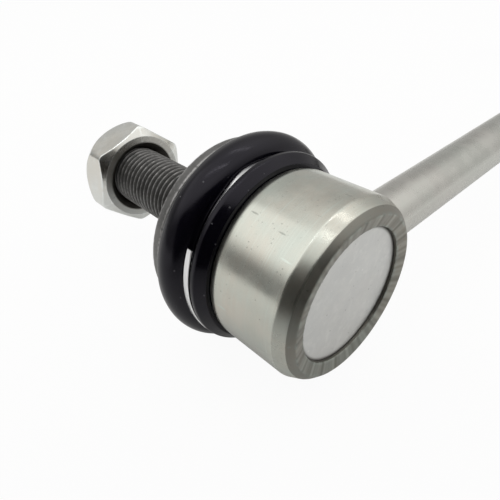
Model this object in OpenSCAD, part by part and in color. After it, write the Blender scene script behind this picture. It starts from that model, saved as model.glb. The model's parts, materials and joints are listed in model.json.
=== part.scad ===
// Stabilizer link: a rod with a ball joint welded on at each end.
// Both studs point along +Y, the rod runs along X and +Z is up.
// Along a stud, "s" is the distance from the rod's axis, positive towards the nut.

/* [Rod] */
// Distance between the two stud axes
centre_distance = 240; // [120:1:330]
// Diameter of the rod
rod_d = 10; // [8:0.5:13]
// Length of housing between the rod's side and the shoulder under the boot
rod_side_gap = 0.8; // [0.1:0.1:2]

/* [Ball joint] */
// Diameter of the ball
ball_d = 15; // [13:0.5:18]
// Distance of the ball's centre from the rod's axis, towards the nut
ball_offset = 1; // [0:0.25:2]
// Running clearance between the ball and its seats
ball_clearance = 0.05; // [0.02:0.01:0.1]
// Thickness of the seats beside the ball
seat_wall = 3; // [2:0.25:4]
// Thickness of the lower seat under the ball
seat_floor = 0.9; // [0.6:0.1:2]
// Angle from the stud's axis at which the upper seat lets go of the ball
seat_open_angle = 62; // [58:1:68]
// Height of the upper seat past the edge that holds the ball
seat_lip = 1.1; // [0.8:0.1:2]
// Width of the grease slots in the upper seat
seat_slot_w = 1.6; // [1:0.1:2.5]
// Depth of the grease slots in the upper seat, past the ball
seat_slot_depth = 1; // [0.5:0.1:1.5]
// Number of grease slots in the upper seat
seat_slots = 6; // [3:1:8]

/* [Housing] */
// Thickness of the housing around the seats
housing_wall = 4.5; // [4:0.25:6]
// Width of the ledge that the upper seat stops against
seat_ledge = 2.3; // [1.5:0.1:3]
// Widening of the mouth, so that the stud can swing
mouth_flare = 1.4; // [1:0.1:2]
// Step from the housing's outside down to the boot's spigot
spigot_step = 2; // [1.5:0.25:2.5]
// Length of the boot's spigot
spigot_len = 3.2; // [2.6:0.1:4]
// Rounding of the shoulder's outer edge
shoulder_round = 0.6; // [0.3:0.1:1]

/* [Cover plate and rolled rim] */
// Thickness of the cover plate
plate_t = 1.2; // [0.8:0.1:2]
// Chamfer of the cover plate's edge
plate_edge = 0.3; // [0.2:0.05:0.5]
// Width of the ledge that the cover plate sits on
plate_ledge = 2; // [1.5:0.1:2.5]
// Radial clearance round the cover plate
plate_clearance = 0.1; // [0.05:0.05:0.3]
// Overlap of the rolled lip on the cover plate
lip_overlap = 1.5; // [1:0.1:2]
// Thickness of the lip at its inner edge
lip_edge = 0.55; // [0.3:0.05:0.8]
// Height of the rim's crest above the cover plate
rim_rise = 1.1; // [0.9:0.1:2]
// Distance from the lip's inner edge out to the crest
rim_bevel = 2.1; // [1:0.1:2.3]
// Drop from the rim's crest to the start of its conical chamfer
rim_drop = 1; // [0.4:0.1:1.4]
// Width across the rim's conical chamfer
rim_chamfer_w = 0.8; // [0.5:0.1:1.5]
// Height of the rim's conical chamfer along the stud
rim_chamfer_h = 1.8; // [1:0.1:2.5]

/* [Boot and clip] */
// Diameter of the boot's base ring past the housing's diameter
ring_overhang = 3.4; // [2.4:0.1:5]
// Width of the boot's base ring
ring_w = 2.1; // [1.5:0.05:3]
// Width across the bevel of the base ring, on the housing's side
ring_bevel_w = 1.3; // [0.5:0.1:1.6]
// Height of that bevel along the stud
ring_bevel_h = 1.1; // [0.5:0.1:1.4]
// Thickness of the boot under the clip
groove_wall = 2; // [1.5:0.1:2.5]
// Radius of the bulge's round side
bulge_round = 3.15; // [2.5:0.05:3.5]
// Distance of the bulge's crest past the base ring
bulge_reach = 1.8; // [1:0.1:2.5]
// Thickness of the boot's skin
boot_wall = 1.5; // [1.2:0.1:1.8]
// Height of the boot's small end
small_end_h = 2.2; // [1.8:0.1:2.8]
// Thickness of the boot's small end round its ring
small_end_wall = 1.9; // [1.4:0.1:2.5]
// Clearance of the boot at its seats
boot_clearance = 0.05; // [0.02:0.01:0.1]
// Thickness of the clip's flat wire, away from the stud's axis
clip_t = 0.5; // [0.4:0.05:0.7]
// Width of the clip's flat wire, along the stud
clip_w = 1.1; // [0.8:0.05:1.4]
// Rise of the clip's wire in a turn, away from the stud's axis
clip_rise = 1.2; // [0.9:0.05:1.4]
// Travel of the clip's wire in a turn, along the stud
clip_travel = 0.1; // [0:0.05:0.2]
// Number of turns of the clip
clip_turns = 1.2; // [1.1:0.05:1.3]
// Clearance of the clip on the floor of its groove
clip_clearance = 0.1; // [0.05:0.05:0.3]
// Clearance of the clip at the sides of its groove
clip_side_gap = 0.05; // [0.05:0.05:0.3]
// Angle of the clip's free end, from +X towards +Z
clip_end_angle = 154; // [0:1:359]

/* [Stud] */
// Diameter of the neck above the ball
neck_d = 8.4; // [7:0.2:9]
// Diameter of the land under the flange, where the boot's ring runs
land_d = 12.4; // [11:0.2:13]
// Radial thickness of the boot's ring
neck_ring_t = 1.2; // [0.8:0.1:1.6]
// Chamfer of the edges of the boot's ring, on its bore
neck_ring_edge = 0.3; // [0.2:0.05:0.4]
// Gap between the boot and the flange
flange_gap = 0.35; // [0.3:0.05:1]
// Diameter of the flange
flange_d = 33.2; // [28:0.2:36]
// Thickness of the flange
flange_t = 1.6; // [1.4:0.1:4]
// Draft of the flange's rim, towards the nut
flange_draft = 0.3; // [0:0.1:1]
// Rounding of the flange's edge on the boot's side
flange_round = 0.4; // [0.2:0.1:0.7]
// Length of the plain shank past the flange, which locates in the bracket
pilot_len = 6; // [4:0.5:7]
// Diameter of the thread and of the plain shank
thread_d = 12; // [10:0.5:12]
// Pitch of the thread
thread_pitch = 1.25; // [1:0.25:1.75]
// Clearance of the thread's relief below the thread's root
relief_clearance = 0.15; // [0.1:0.05:0.3]
// Length of the stud past the flange
shank_len = 40.5; // [36:0.5:60]
// Size across the flats of the hexagon socket in the stud's end
socket_af = 6; // [4:0.5:6]
// Depth of the hexagon socket
socket_depth = 6; // [4:0.5:10]

/* [Nut] */
// Size across the flats of the nut
nut_af = 19; // [17:0.5:21]
// Height of the nut
nut_h = 10.2; // [9.5:0.1:12]
// Height of the nut's corners before the dome cuts them
nut_corner_h = 4.2; // [3:0.1:6]
// Radius of the nut's dome
nut_dome_r = 11.5; // [11:0.1:14]
// Diameter of the nut's bearing face
nut_face_d = 17.6; // [16:0.2:18]
// Angle of the chamfer on the nut's corners
nut_chamfer_angle = 30; // [15:1:35]
// Widening of the bore at the bearing face
nut_lead_in = 1.4; // [0.8:0.1:1.8]
// Radial clearance of the nut on the thread
nut_clearance = 0.05; // [0.02:0.01:0.1]
// Distance from the flange to the nut
nut_gap = 28.7; // [2:0.1:30]
// Turn of the nut's corners, from +X towards +Z
nut_turn = 21; // [0:1:59]
// Radial thickness of the locking insert
insert_t = 1; // [0.7:0.05:1.1]
// Height of the locking insert
insert_h = 1.8; // [1.2:0.1:2.4]
// Thickness of the rolled edge that keeps the insert in
insert_lip = 0.7; // [0.5:0.1:1]

/* [Hidden] */
$fn = 96;

// Radii, from the ball outwards
ball_r = ball_d / 2;
seat_r = ball_r + seat_wall;
housing_r = seat_r + housing_wall;
plate_r = seat_r + plate_ledge;
lip_r = plate_r - lip_overlap;
mouth_r = seat_r - seat_ledge;
spigot_r = housing_r - spigot_step;
ring_r = housing_r + ring_overhang / 2;
groove_r = spigot_r + groove_wall;
bulge_r = ring_r + bulge_reach;
bulge_mid_r = bulge_r - bulge_round;
land_r = land_d / 2;
neck_ring_r = land_r + boot_clearance + neck_ring_t;
rod_r = rod_d / 2;
thread_r = thread_d / 2;
// Depth of a metric thread, as a share of its pitch
metric_depth_share = 0.613;
thread_depth = metric_depth_share * thread_pitch;
thread_root_r = thread_r - thread_depth;
relief_r = thread_root_r - relief_clearance;
// Flats on a ridge's crest and in its root, as shares of the pitch
crest_share = 1 / 8;
root_share = 1 / 4;

// Stations along the stud, from the cover plate to the stud's end
ball_back = ball_offset - ball_r;
plate_back = ball_back - seat_floor;
plate_front = plate_back - plate_t;
rim_front = plate_front - rim_rise;
seat_top = ball_offset + ball_r * cos(seat_open_angle) + seat_lip;
shoulder = rod_r + rod_side_gap;
spigot_end = shoulder + spigot_len;
ring_start = shoulder + boot_clearance;
ring_end = ring_start + ring_w;
groove_w = clip_w + clip_turns * clip_travel + 2 * clip_side_gap;
groove_end = ring_end + groove_w;
bulge_mid = groove_end + bulge_round;
bulge_top = bulge_mid + bulge_round;
flange_start = bulge_top + flange_gap;
flange_end = flange_start + flange_t;
pilot_end = flange_end + pilot_len;
relief_end = pilot_end + thread_depth + thread_pitch;
thread_low = relief_end - thread_pitch / 2;
stud_end = flange_end + shank_len;
nut_start = flange_end + nut_gap;
land_start = bulge_top - small_end_h - boot_clearance;

// Number of short straight pieces in a turn of the clip
clip_turn_steps = 60;
// Number of short straight pieces in a turn of the thread
thread_sides = 18;
// Small reach past a face, for cuts
past = 1;

// The part stands on its two boots, with its origin under the middle of its outline
axis_height = max(bulge_r, flange_d / 2);
outline_middle = (rim_front + stud_end) / 2;

// One end of the link, with the stud's axis along +Y and the rod towards +X
module left_end() {
    translate([-centre_distance / 2, -outline_middle, axis_height]) children();
}

// The other end is the same joint, turned half a turn about its stud
module right_end() {
    translate([centre_distance / 2, -outline_middle, axis_height]) rotate([0, 180, 0]) children();
}

// Turn an outline of radius and station about the stud's axis
module turned() {
    rotate([-90, 0, 0]) rotate_extrude() children();
}

// Put a shape that stands on the XY plane at a station of the stud's axis
module at_station(s) {
    translate([0, s, 0]) rotate([-90, 0, 0]) children();
}

module link_rod() {
    color("darkgray")
    translate([0, -outline_middle, axis_height])
    difference() {
        rotate([0, 90, 0]) cylinder(h = centre_distance, r = rod_r, center = true);
        for (side = [-1, 1])
            translate([side * centre_distance / 2, 0, 0])
            rotate([90, 0, 0]) cylinder(h = rod_d + 2 * past, r = housing_r, center = true);
    }
}

// Outside of the housing: spigot, shoulder, wall and the rim rolled over the cover plate
module housing_outline() {
    round_mid = [housing_r - shoulder_round, shoulder - shoulder_round];
    polygon([
        [lip_r, plate_front],
        [lip_r, plate_front - lip_edge],
        [lip_r + rim_bevel, rim_front],
        [housing_r - rim_chamfer_w, rim_front + rim_drop],
        [housing_r, rim_front + rim_drop + rim_chamfer_h],
        [housing_r, round_mid.y],
        for (a = [15 : 15 : 75]) round_mid + shoulder_round * [cos(a), sin(a)],
        [round_mid.x, shoulder],
        [spigot_r, shoulder],
        [spigot_r, spigot_end],
        [mouth_r + mouth_flare, spigot_end],
        [mouth_r, seat_top],
        [seat_r, seat_top],
        [seat_r, plate_back],
        [plate_r, plate_back],
        [plate_r, plate_front]
    ]);
}

module housing() {
    color("silver") turned() housing_outline();
}

module cover_plate() {
    rim = plate_r - plate_clearance;
    color("gainsboro") turned() polygon([
        [0, plate_front],
        [rim - plate_edge, plate_front],
        [rim, plate_front + plate_edge],
        [rim, plate_back],
        [0, plate_back]
    ]);
}

module ball_space() {
    translate([0, ball_offset, 0]) sphere(r = ball_r + ball_clearance);
}

// The upper seat holds the ball in and opens along a cone from the ball's centre
module upper_seat() {
    reach = seat_top - ball_offset + past;
    slot_top = ball_offset + ball_r * cos(seat_open_angle);
    color("ivory")
    difference() {
        at_station(ball_offset) cylinder(h = seat_top - ball_offset, r = seat_r);
        ball_space();
        at_station(ball_offset) cylinder(h = reach, r1 = 0, r2 = reach * tan(seat_open_angle));
        for (i = [0 : seat_slots - 1])
            rotate([0, i * 360 / seat_slots, 0])
            translate([0, ball_offset, -seat_slot_w / 2])
            cube([ball_r + seat_slot_depth, slot_top - ball_offset, seat_slot_w]);
    }
}

// The lower seat is a cup between the ball and the cover plate
module lower_seat() {
    color("ivory")
    difference() {
        at_station(plate_back) cylinder(h = ball_offset - plate_back, r = seat_r);
        ball_space();
    }
}

// Ring of four points round the clip's wire, after a share t of its length.
// The wire starts at its free end beside the bulge and winds under itself, towards the base ring.
function clip_ring(t) =
    let (
        angle = clip_end_angle + t * clip_turns * 360,
        inner = groove_r + clip_clearance + (1 - t) * clip_turns * clip_rise,
        low = groove_end - clip_side_gap - clip_w - t * clip_turns * clip_travel,
        turn = [cos(angle), 0, sin(angle)]
    )
    [for (corner = [[0, 0], [clip_t, 0], [clip_t, clip_w], [0, clip_w]])
        turn * (inner + corner.x) + [0, low + corner.y, 0]];

module boot_clip() {
    steps = ceil(clip_turns * clip_turn_steps);
    rings = [for (i = [0 : steps]) each clip_ring(i / steps)];
    sides = [for (i = [0 : steps - 1], k = [0 : 3])
        let (n = (k + 1) % 4)
        [4 * i + k, 4 * i + 4 + k, 4 * i + 4 + n, 4 * i + n]];
    last = 4 * steps;
    color("lightgray")
    polyhedron(rings, concat([[0, 1, 2, 3]], sides, [[last + 3, last + 2, last + 1, last]]));
}

// Half of the boot's wall: base ring, clip groove, round bulge and flat top to the small end
module boot_outline() {
    spigot_fit = spigot_r + boot_clearance;
    small_fit = neck_ring_r + boot_clearance;
    small_out = small_fit + small_end_wall;
    small_low = bulge_top - small_end_h;
    difference() {
        union() {
            polygon([
                [spigot_fit, ring_start],
                [ring_r - ring_bevel_w, ring_start],
                [ring_r, ring_start + ring_bevel_h],
                [ring_r, ring_end],
                [spigot_fit, ring_end]
            ]);
            translate([spigot_fit, ring_start]) square([groove_r - spigot_fit, groove_end - ring_start]);
            translate([bulge_mid_r, bulge_mid]) circle(r = bulge_round);
            translate([spigot_fit, groove_end]) square([bulge_mid_r - spigot_fit, 2 * bulge_round]);
            translate([small_fit, bulge_top - boot_wall]) square([bulge_mid_r - small_fit, boot_wall]);
            translate([small_fit, small_low]) square([small_out - small_fit, small_end_h]);
        }
        translate([bulge_mid_r, bulge_mid]) circle(r = bulge_round - boot_wall);
        translate([small_out, groove_end + boot_wall])
            square([bulge_mid_r - small_out, 2 * (bulge_round - boot_wall)]);
    }
}

module boot() {
    color("dimgray") turned() boot_outline();
}

// Ring moulded into the boot's small end, which runs on the stud's land
module neck_ring() {
    inner = land_r + boot_clearance;
    low = bulge_top - small_end_h;
    color("gray") turned() polygon([
        [inner, low + neck_ring_edge],
        [inner + neck_ring_edge, low],
        [neck_ring_r, low],
        [neck_ring_r, bulge_top],
        [inner + neck_ring_edge, bulge_top],
        [inner, bulge_top - neck_ring_edge]
    ]);
}

// Outline of the stud past the ball: neck, land, flange, plain shank and thread relief
module stud_outline() {
    neck_r = neck_d / 2;
    flange_r = flange_d / 2;
    polygon([
        [0, ball_offset],
        [neck_r, ball_offset],
        [neck_r, land_start - (land_r - neck_r)],
        [land_r, land_start],
        [land_r, flange_start],
        [flange_r - flange_round, flange_start],
        for (a = [-75 : 15 : 0])
            [flange_r - flange_round, flange_start + flange_round] + flange_round * [cos(a), sin(a)],
        [flange_r - flange_draft, flange_end],
        [thread_r, flange_end],
        [thread_r, pilot_end],
        [relief_r, pilot_end + thread_depth],
        [relief_r, relief_end],
        [0, relief_end]
    ]);
}

// Station of the m-th corner of the thread's ridges, on side j of a turn.
// A ridge has four corners: both edges of its crest, then both edges of the root past it.
function thread_station(m, j) =
    let (shares = [-crest_share / 2, crest_share / 2, (1 - root_share) / 2, (1 + root_share) / 2])
    thread_pitch * (floor(m / 4) + shares[m % 4] - j / thread_sides);

// Radius of that corner: the ridge's own, kept inside a cone at each end of the thread
function thread_radius(m, s) =
    min(
        m % 4 < 2 ? thread_r : thread_root_r,
        relief_r - relief_clearance + s - relief_end,
        thread_root_r + stud_end - s
    );

function round_stud(r, s, j) =
    [r * cos(360 * j / thread_sides), s, r * sin(360 * j / thread_sides)];

// The thread winds round the stud from inside the relief's end to the stud's end.
// Corners before its start or past its end are drawn together in the ring that closes it there.
module thread() {
    first = 4 * (floor(thread_low / thread_pitch) - 1);
    last = 4 * (ceil(stud_end / thread_pitch) + 2);
    sides = [0 : thread_sides - 1];
    start_r = relief_r - relief_clearance + thread_low - relief_end;
    points = concat(
        [for (j = sides) round_stud(start_r, thread_low, j)],
        [for (j = sides) round_stud(thread_root_r, stud_end, j)],
        [for (m = [first : last], j = sides)
            let (s = thread_station(m, j))
            round_stud(thread_radius(m, s), s, j)]
    );
    function corner(m, j) =
        let (
            s = thread_station(m, j),
            column = j % thread_sides,
            row = j == thread_sides ? m - 4 : m
        )
        s <= thread_low ? column
        : s >= stud_end ? thread_sides + column
        : 2 * thread_sides + (row - first) * thread_sides + column;
    quads = [for (m = [first : last - 1], j = sides)
        [corner(m, j), corner(m, j + 1), corner(m + 1, j + 1), corner(m + 1, j)]];
    skin = [for (q = quads) each [[q[0], q[1], q[2]], [q[0], q[2], q[3]]]];
    polyhedron(points, concat(
        [[for (j = sides) thread_sides - 1 - j]],
        [for (t = skin) if (t[0] != t[1] && t[1] != t[2] && t[2] != t[0]) t],
        [[for (j = sides) thread_sides + j]]
    ));
}

module ball_stud() {
    color("dimgray")
    difference() {
        union() {
            translate([0, ball_offset, 0]) sphere(r = ball_r);
            turned() stud_outline();
            thread();
        }
        at_station(stud_end - socket_depth)
            cylinder(h = socket_depth + past, d = socket_af / cos(30), $fn = 6);
    }
}

module nut_insert() {
    inner = thread_r + nut_clearance;
    top = nut_start + nut_h - insert_lip - nut_clearance;
    color("cornflowerblue") turned()
        translate([inner, top - insert_h]) square([insert_t, insert_h]);
}

// Outline of what is bored out of the nut: lead-in, thread and the insert's groove
module nut_bore_outline() {
    bore_r = thread_r + nut_clearance;
    groove_out = bore_r + insert_t + nut_clearance;
    groove_top = nut_h - insert_lip;
    groove_low = groove_top - insert_h - 2 * nut_clearance;
    polygon([
        [0, -past],
        [bore_r + nut_lead_in + past, -past],
        [bore_r + nut_lead_in, 0],
        [bore_r, nut_lead_in],
        [bore_r, groove_low],
        [groove_out, groove_low],
        [groove_out, groove_top],
        [bore_r, groove_top],
        [bore_r, nut_h + past],
        [0, nut_h + past]
    ]);
}

// A hexagon with its bearing face chamfered and its other end turned to a dome
module lock_nut() {
    corner_r = nut_af / 2 / cos(30);
    face_r = nut_face_d / 2;
    dome_mid = nut_corner_h - sqrt(pow(nut_dome_r, 2) - pow(corner_r, 2));
    cone_h = nut_h / 2;
    color("silver")
    translate([0, nut_start, 0])
    difference() {
        intersection() {
            rotate([0, -nut_turn, 0]) at_station(0) cylinder(h = nut_h, r = corner_r, $fn = 6);
            translate([0, dome_mid, 0]) sphere(r = nut_dome_r);
            turned() polygon([
                [0, 0],
                [face_r, 0],
                [face_r + cone_h / tan(nut_chamfer_angle), cone_h],
                [face_r + cone_h / tan(nut_chamfer_angle), nut_h],
                [0, nut_h]
            ]);
        }
        turned() nut_bore_outline();
    }
}

link_rod();
left_end() housing();  // left_housing
left_end() cover_plate();  // left_cover_plate
left_end() upper_seat();  // left_upper_seat
left_end() lower_seat();  // left_lower_seat
left_end() boot_clip();  // left_boot_clip
left_end() boot();  // left_boot
left_end() neck_ring();  // left_neck_ring
left_end() ball_stud();  // left_ball_stud
left_end() nut_insert();  // left_nut_insert
left_end() lock_nut();  // left_lock_nut
right_end() housing();  // right_housing
right_end() cover_plate();  // right_cover_plate
right_end() upper_seat();  // right_upper_seat
right_end() lower_seat();  // right_lower_seat
right_end() boot_clip();  // right_boot_clip
right_end() boot();  // right_boot
right_end() neck_ring();  // right_neck_ring
right_end() ball_stud();  // right_ball_stud
right_end() nut_insert();  // right_nut_insert
right_end() lock_nut();  // right_lock_nut
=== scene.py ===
"""Stabilizer link: the looks of a rod with a booted ball joint at each end.

Sizes are millimetres in a joint's own axes: x along the rod, s along the stud towards
the nut and z up, from the point where the rod's axis meets the stud's axis. They become
frame metres when a mesh is made. A turned piece is a grid: its rows follow the piece's
outline and its columns go round the stud.
"""

import json
import logging
import math
from dataclasses import dataclass
from enum import Enum

import bpy
import numpy as np
from mathutils import Matrix, Vector


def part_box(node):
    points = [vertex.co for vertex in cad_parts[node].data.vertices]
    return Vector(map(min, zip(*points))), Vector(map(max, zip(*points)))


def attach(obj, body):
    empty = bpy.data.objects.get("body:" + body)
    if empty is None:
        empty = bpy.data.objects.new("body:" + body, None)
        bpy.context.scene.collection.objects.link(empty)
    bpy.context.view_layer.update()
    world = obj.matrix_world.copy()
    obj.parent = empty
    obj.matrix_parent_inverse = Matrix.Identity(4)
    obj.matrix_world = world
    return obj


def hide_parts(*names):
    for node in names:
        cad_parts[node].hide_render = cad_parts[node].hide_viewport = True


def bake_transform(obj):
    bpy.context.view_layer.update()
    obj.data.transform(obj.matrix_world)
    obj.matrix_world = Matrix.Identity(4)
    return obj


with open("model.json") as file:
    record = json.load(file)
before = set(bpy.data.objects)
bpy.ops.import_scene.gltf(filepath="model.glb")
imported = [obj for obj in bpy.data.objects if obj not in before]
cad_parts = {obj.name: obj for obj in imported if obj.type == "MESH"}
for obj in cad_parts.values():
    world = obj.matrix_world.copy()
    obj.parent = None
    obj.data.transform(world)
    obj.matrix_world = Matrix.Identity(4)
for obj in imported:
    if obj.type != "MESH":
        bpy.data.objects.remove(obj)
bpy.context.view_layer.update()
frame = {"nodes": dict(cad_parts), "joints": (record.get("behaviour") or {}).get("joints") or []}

log = logging.getLogger("stabilizer_link")

Array = np.ndarray
Socket = bpy.types.NodeSocket
Pair = tuple[float, float]
Triple = tuple[float, float, float]
Color = Triple

# One millimetre in frame metres
MM = 0.001
# Rows of a rounded corner, and the largest share of a stretch that one corner takes
EASE_STEPS = 7
EASE_SHARE = 0.48
# Rows of a long arc
ARC_ROWS = 64
# Shortest stretch that still has a direction
LEAST_LENGTH = 1e-6
# Small distances in millimetres that keep neighbouring rows apart
SLIVER = 0.02
ROW_GAP = 0.1
# Turn of an outline in radians that counts as a whole edge
FULL_TURN = 0.9
# Angle between faces from which an edge is sharp
SHARP_ANGLE = math.radians(38)
# Colour of dirt, burnished metal and painted shade, and plain white
SOIL_AND_SHADE: Color = (0.09, 0.08, 0.068)
WHITE: Color = (1.0, 1.0, 1.0)


def round_angles(columns: int) -> Array:
    """Angles of the columns round an axis, in radians."""
    return np.linspace(0, 2 * np.pi, columns, endpoint=False)


def from_flat(angles: Array) -> Array:
    """Angles from the middle of a hexagon's nearest flat, with a corner at angle 0."""
    return angles % (np.pi / 3) - np.pi / 6


def flat_radius(angles: Array, across_flats: float) -> Array:
    """Radius of a sharp hexagon: half its width over the cosine of the angle from a flat's middle."""
    return across_flats / 2 / np.cos(from_flat(angles))


def bell(offset: Array, width: float) -> Array:
    """Bell curve exp(-(offset / width)^2)."""
    return np.exp(-((offset / width) ** 2))


def shade(color: Color, share: float) -> Color:
    """Colour times a share, up to white."""
    return tuple(min(1.0, share * c) for c in color)


def new_material(name: str) -> bpy.types.Material:
    """New material with nodes."""
    material = bpy.data.materials.new(name)
    material.use_nodes = True
    return material


class Side(Enum):
    """The two ends of the link."""

    LEFT = "left"
    RIGHT = "right"

    @property
    def turn(self) -> float:
        """Sign of x and z: the right joint is the left one after half a turn about the stud."""
        return 1.0 if self is Side.LEFT else -1.0


class Ends(Enum):
    """How the rows of a grid end."""

    JOINED = "the last row meets the first"
    CAPPED = "a fan of triangles closes each end"


@dataclass(frozen=True)
class JointAxes:
    """Place of one ball joint in the frame.

    Attributes:
        side: Which end of the link it is.
        origin: Where the rod's axis meets the stud's, in frame metres.
    """

    side: Side
    origin: Array

    @classmethod
    def of(cls, side: Side) -> "JointAxes":
        """Axes of one end: the stud's axis from its swing joint, the rod's from the rod.

        Args:
            side: Which end of the link.

        Returns:
            The end's axes.
        """
        swing = next(j for j in frame["joints"] if j["name"] == f"{side.value}_stud_pitch")
        low, high = (np.array(corner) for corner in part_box("link_rod"))
        middle = (low + high) / 2
        return cls(side, np.array([swing["pos_m"][0], middle[1], middle[2]]))

    def name(self, piece: str) -> str:
        """Name of this end's piece, node or body."""
        return f"{self.side.value}_{piece}"

    def place(self, points: Array) -> Array:
        """Joint millimetres as frame metres."""
        turn = self.side.turn
        return self.origin + points * np.array([turn, 1.0, turn]) * MM

    def on_stud(self, s: float) -> tuple[float, ...]:
        """Frame point on the stud's axis at a station."""
        return tuple(self.place(np.array([0.0, s, 0.0])))

    def span(self, piece: str) -> Triple:
        """Radius and both end stations of a turned CAD piece.

        Args:
            piece: The CAD node's name without its side.

        Returns:
            Radius, lowest station and highest station, in millimetres.
        """
        low, high = (np.array(corner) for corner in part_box(self.name(piece)))
        first, last = (np.array([low[1], high[1]]) - self.origin[1]) / MM
        return (high[0] - low[0]) / 2 / MM, first, last


@dataclass(frozen=True)
class Corner:
    """Corner of an outline.

    Attributes:
        r: Radius, one value or one for each column.
        s: Station, one value or one for each column.
        ease: Distance from the corner at which its rounding starts and ends.
    """

    r: float | Array
    s: float | Array
    ease: float = 0.0


@dataclass(frozen=True)
class Rows:
    """Rows of a turned piece, as arrays of row by column.

    Attributes:
        r: Radius of each point.
        s: Station of each point.
    """

    r: Array
    s: Array

    @classmethod
    def join(cls, *parts: "Rows") -> "Rows":
        """Rows one after the other, spread to the same number of columns.

        Args:
            parts: Rows to join.

        Returns:
            All rows.
        """
        columns = max(part.r.shape[1] for part in parts)
        spread = [
            [np.broadcast_to(a, (a.shape[0], columns)) for a in (part.r, part.s)] for part in parts
        ]
        return cls(np.concatenate([p[0] for p in spread]), np.concatenate([p[1] for p in spread]))

    @classmethod
    def arc(cls, mid: Pair, radius: float, start: float, end: float, count: int) -> "Rows":
        """Arc r = mid + radius cos t, s = mid + radius sin t.

        Args:
            mid: Radius and station of the arc's centre.
            radius: Radius of the arc.
            start: First angle in degrees, from outwards towards the nut.
            end: Last angle in degrees.
            count: Number of rows.

        Returns:
            Rows of one column.
        """
        t = np.radians(np.linspace(start, end, count))[:, None]
        return cls(mid[0] + radius * np.cos(t), mid[1] + radius * np.sin(t))

    @classmethod
    def through(cls, *corners: Corner, joined: bool = False, step: float = 0.6) -> "Rows":
        """Rows along straight stretches between rounded corners.

        A corner P with ease e becomes (1-u)^2 A + 2u(1-u) P + u^2 B, where A and B lie
        e from P towards the corners before and after it. Stretches are cut to the step.

        Args:
            corners: Corners in order.
            joined: Whether the last corner leads back to the first.
            step: Longest stretch between rows.

        Returns:
            Rows of as many columns as the corners have.
        """
        columns = max(max(np.size(c.r), np.size(c.s)) for c in corners)
        points = np.array(
            [[np.broadcast_to(c.r, columns), np.broadcast_to(c.s, columns)] for c in corners], float
        )
        ahead = np.roll(points, -1, axis=0) - points
        length = np.maximum(np.linalg.norm(ahead, axis=1, keepdims=True), LEAST_LENGTH)
        ahead = ahead / length
        behind = -np.roll(ahead, 1, axis=0)
        room = EASE_SHARE * np.minimum(length, np.roll(length, 1, axis=0))
        ease = np.array([c.ease for c in corners])[:, None, None]
        if not joined:
            ease[[0, -1]] = 0
        reach = np.minimum(ease, room)
        first = points + behind * reach
        last = points + ahead * reach
        u = np.linspace(0, 1, EASE_STEPS)[:, None, None]
        blocks = []
        count = len(corners)
        for i in range(count):
            if ease[i, 0, 0] > 0:
                blocks.append((1 - u) ** 2 * first[i] + 2 * u * (1 - u) * points[i] + u**2 * last[i])
            else:
                blocks.append(points[i][None])
            if joined or i < count - 1:
                target = first[(i + 1) % count]
                gap = np.linalg.norm(target - last[i], axis=0).max()
                pieces = max(1, math.ceil(gap / step))
                t = (np.arange(1, pieces) / pieces)[:, None, None]
                blocks.append(last[i] + t * (target - last[i]))
        rows = np.concatenate(blocks)
        return cls(rows[:, 0], rows[:, 1])

    def masks(self, joined: bool, reach: float) -> tuple[Array, Array]:
        """Wear on outer edges, and dirt with painted shade in inner corners.

        The outline's turn at each row, with the sign of its area, is spread along the
        outline by exp(-(distance / reach)^2).

        Args:
            joined: Whether the last row meets the first.
            reach: Distance over which an edge spreads.

        Returns:
            Wear, and dirt with painted shade, from 0 to 1, one column each.
        """
        r, s = self.r[:, 0], self.s[:, 0]
        step = np.stack([np.roll(r, -1) - r, np.roll(s, -1) - s])
        if not joined:
            step[:, -1] = step[:, -2]
        heading = np.arctan2(step[1], step[0])
        turn = (heading - np.roll(heading, 1) + np.pi) % (2 * np.pi) - np.pi
        if not joined:
            turn[[0, -1]] = 0
        turn = turn * np.sign(np.sum(r * np.roll(s, -1) - np.roll(r, -1) * s))
        along = np.concatenate([[0.0], np.cumsum(np.hypot(*step))[:-1]])
        near = bell(along[:, None] - along[None, :], reach)
        wear = np.clip(near @ np.maximum(turn, 0) / FULL_TURN, 0, 1)
        # Inner corners get dirt and painted shade
        soil_and_shade = np.clip(near @ np.maximum(-turn, 0) / FULL_TURN, 0, 1)
        return wear[:, None], soil_and_shade[:, None]


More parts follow.
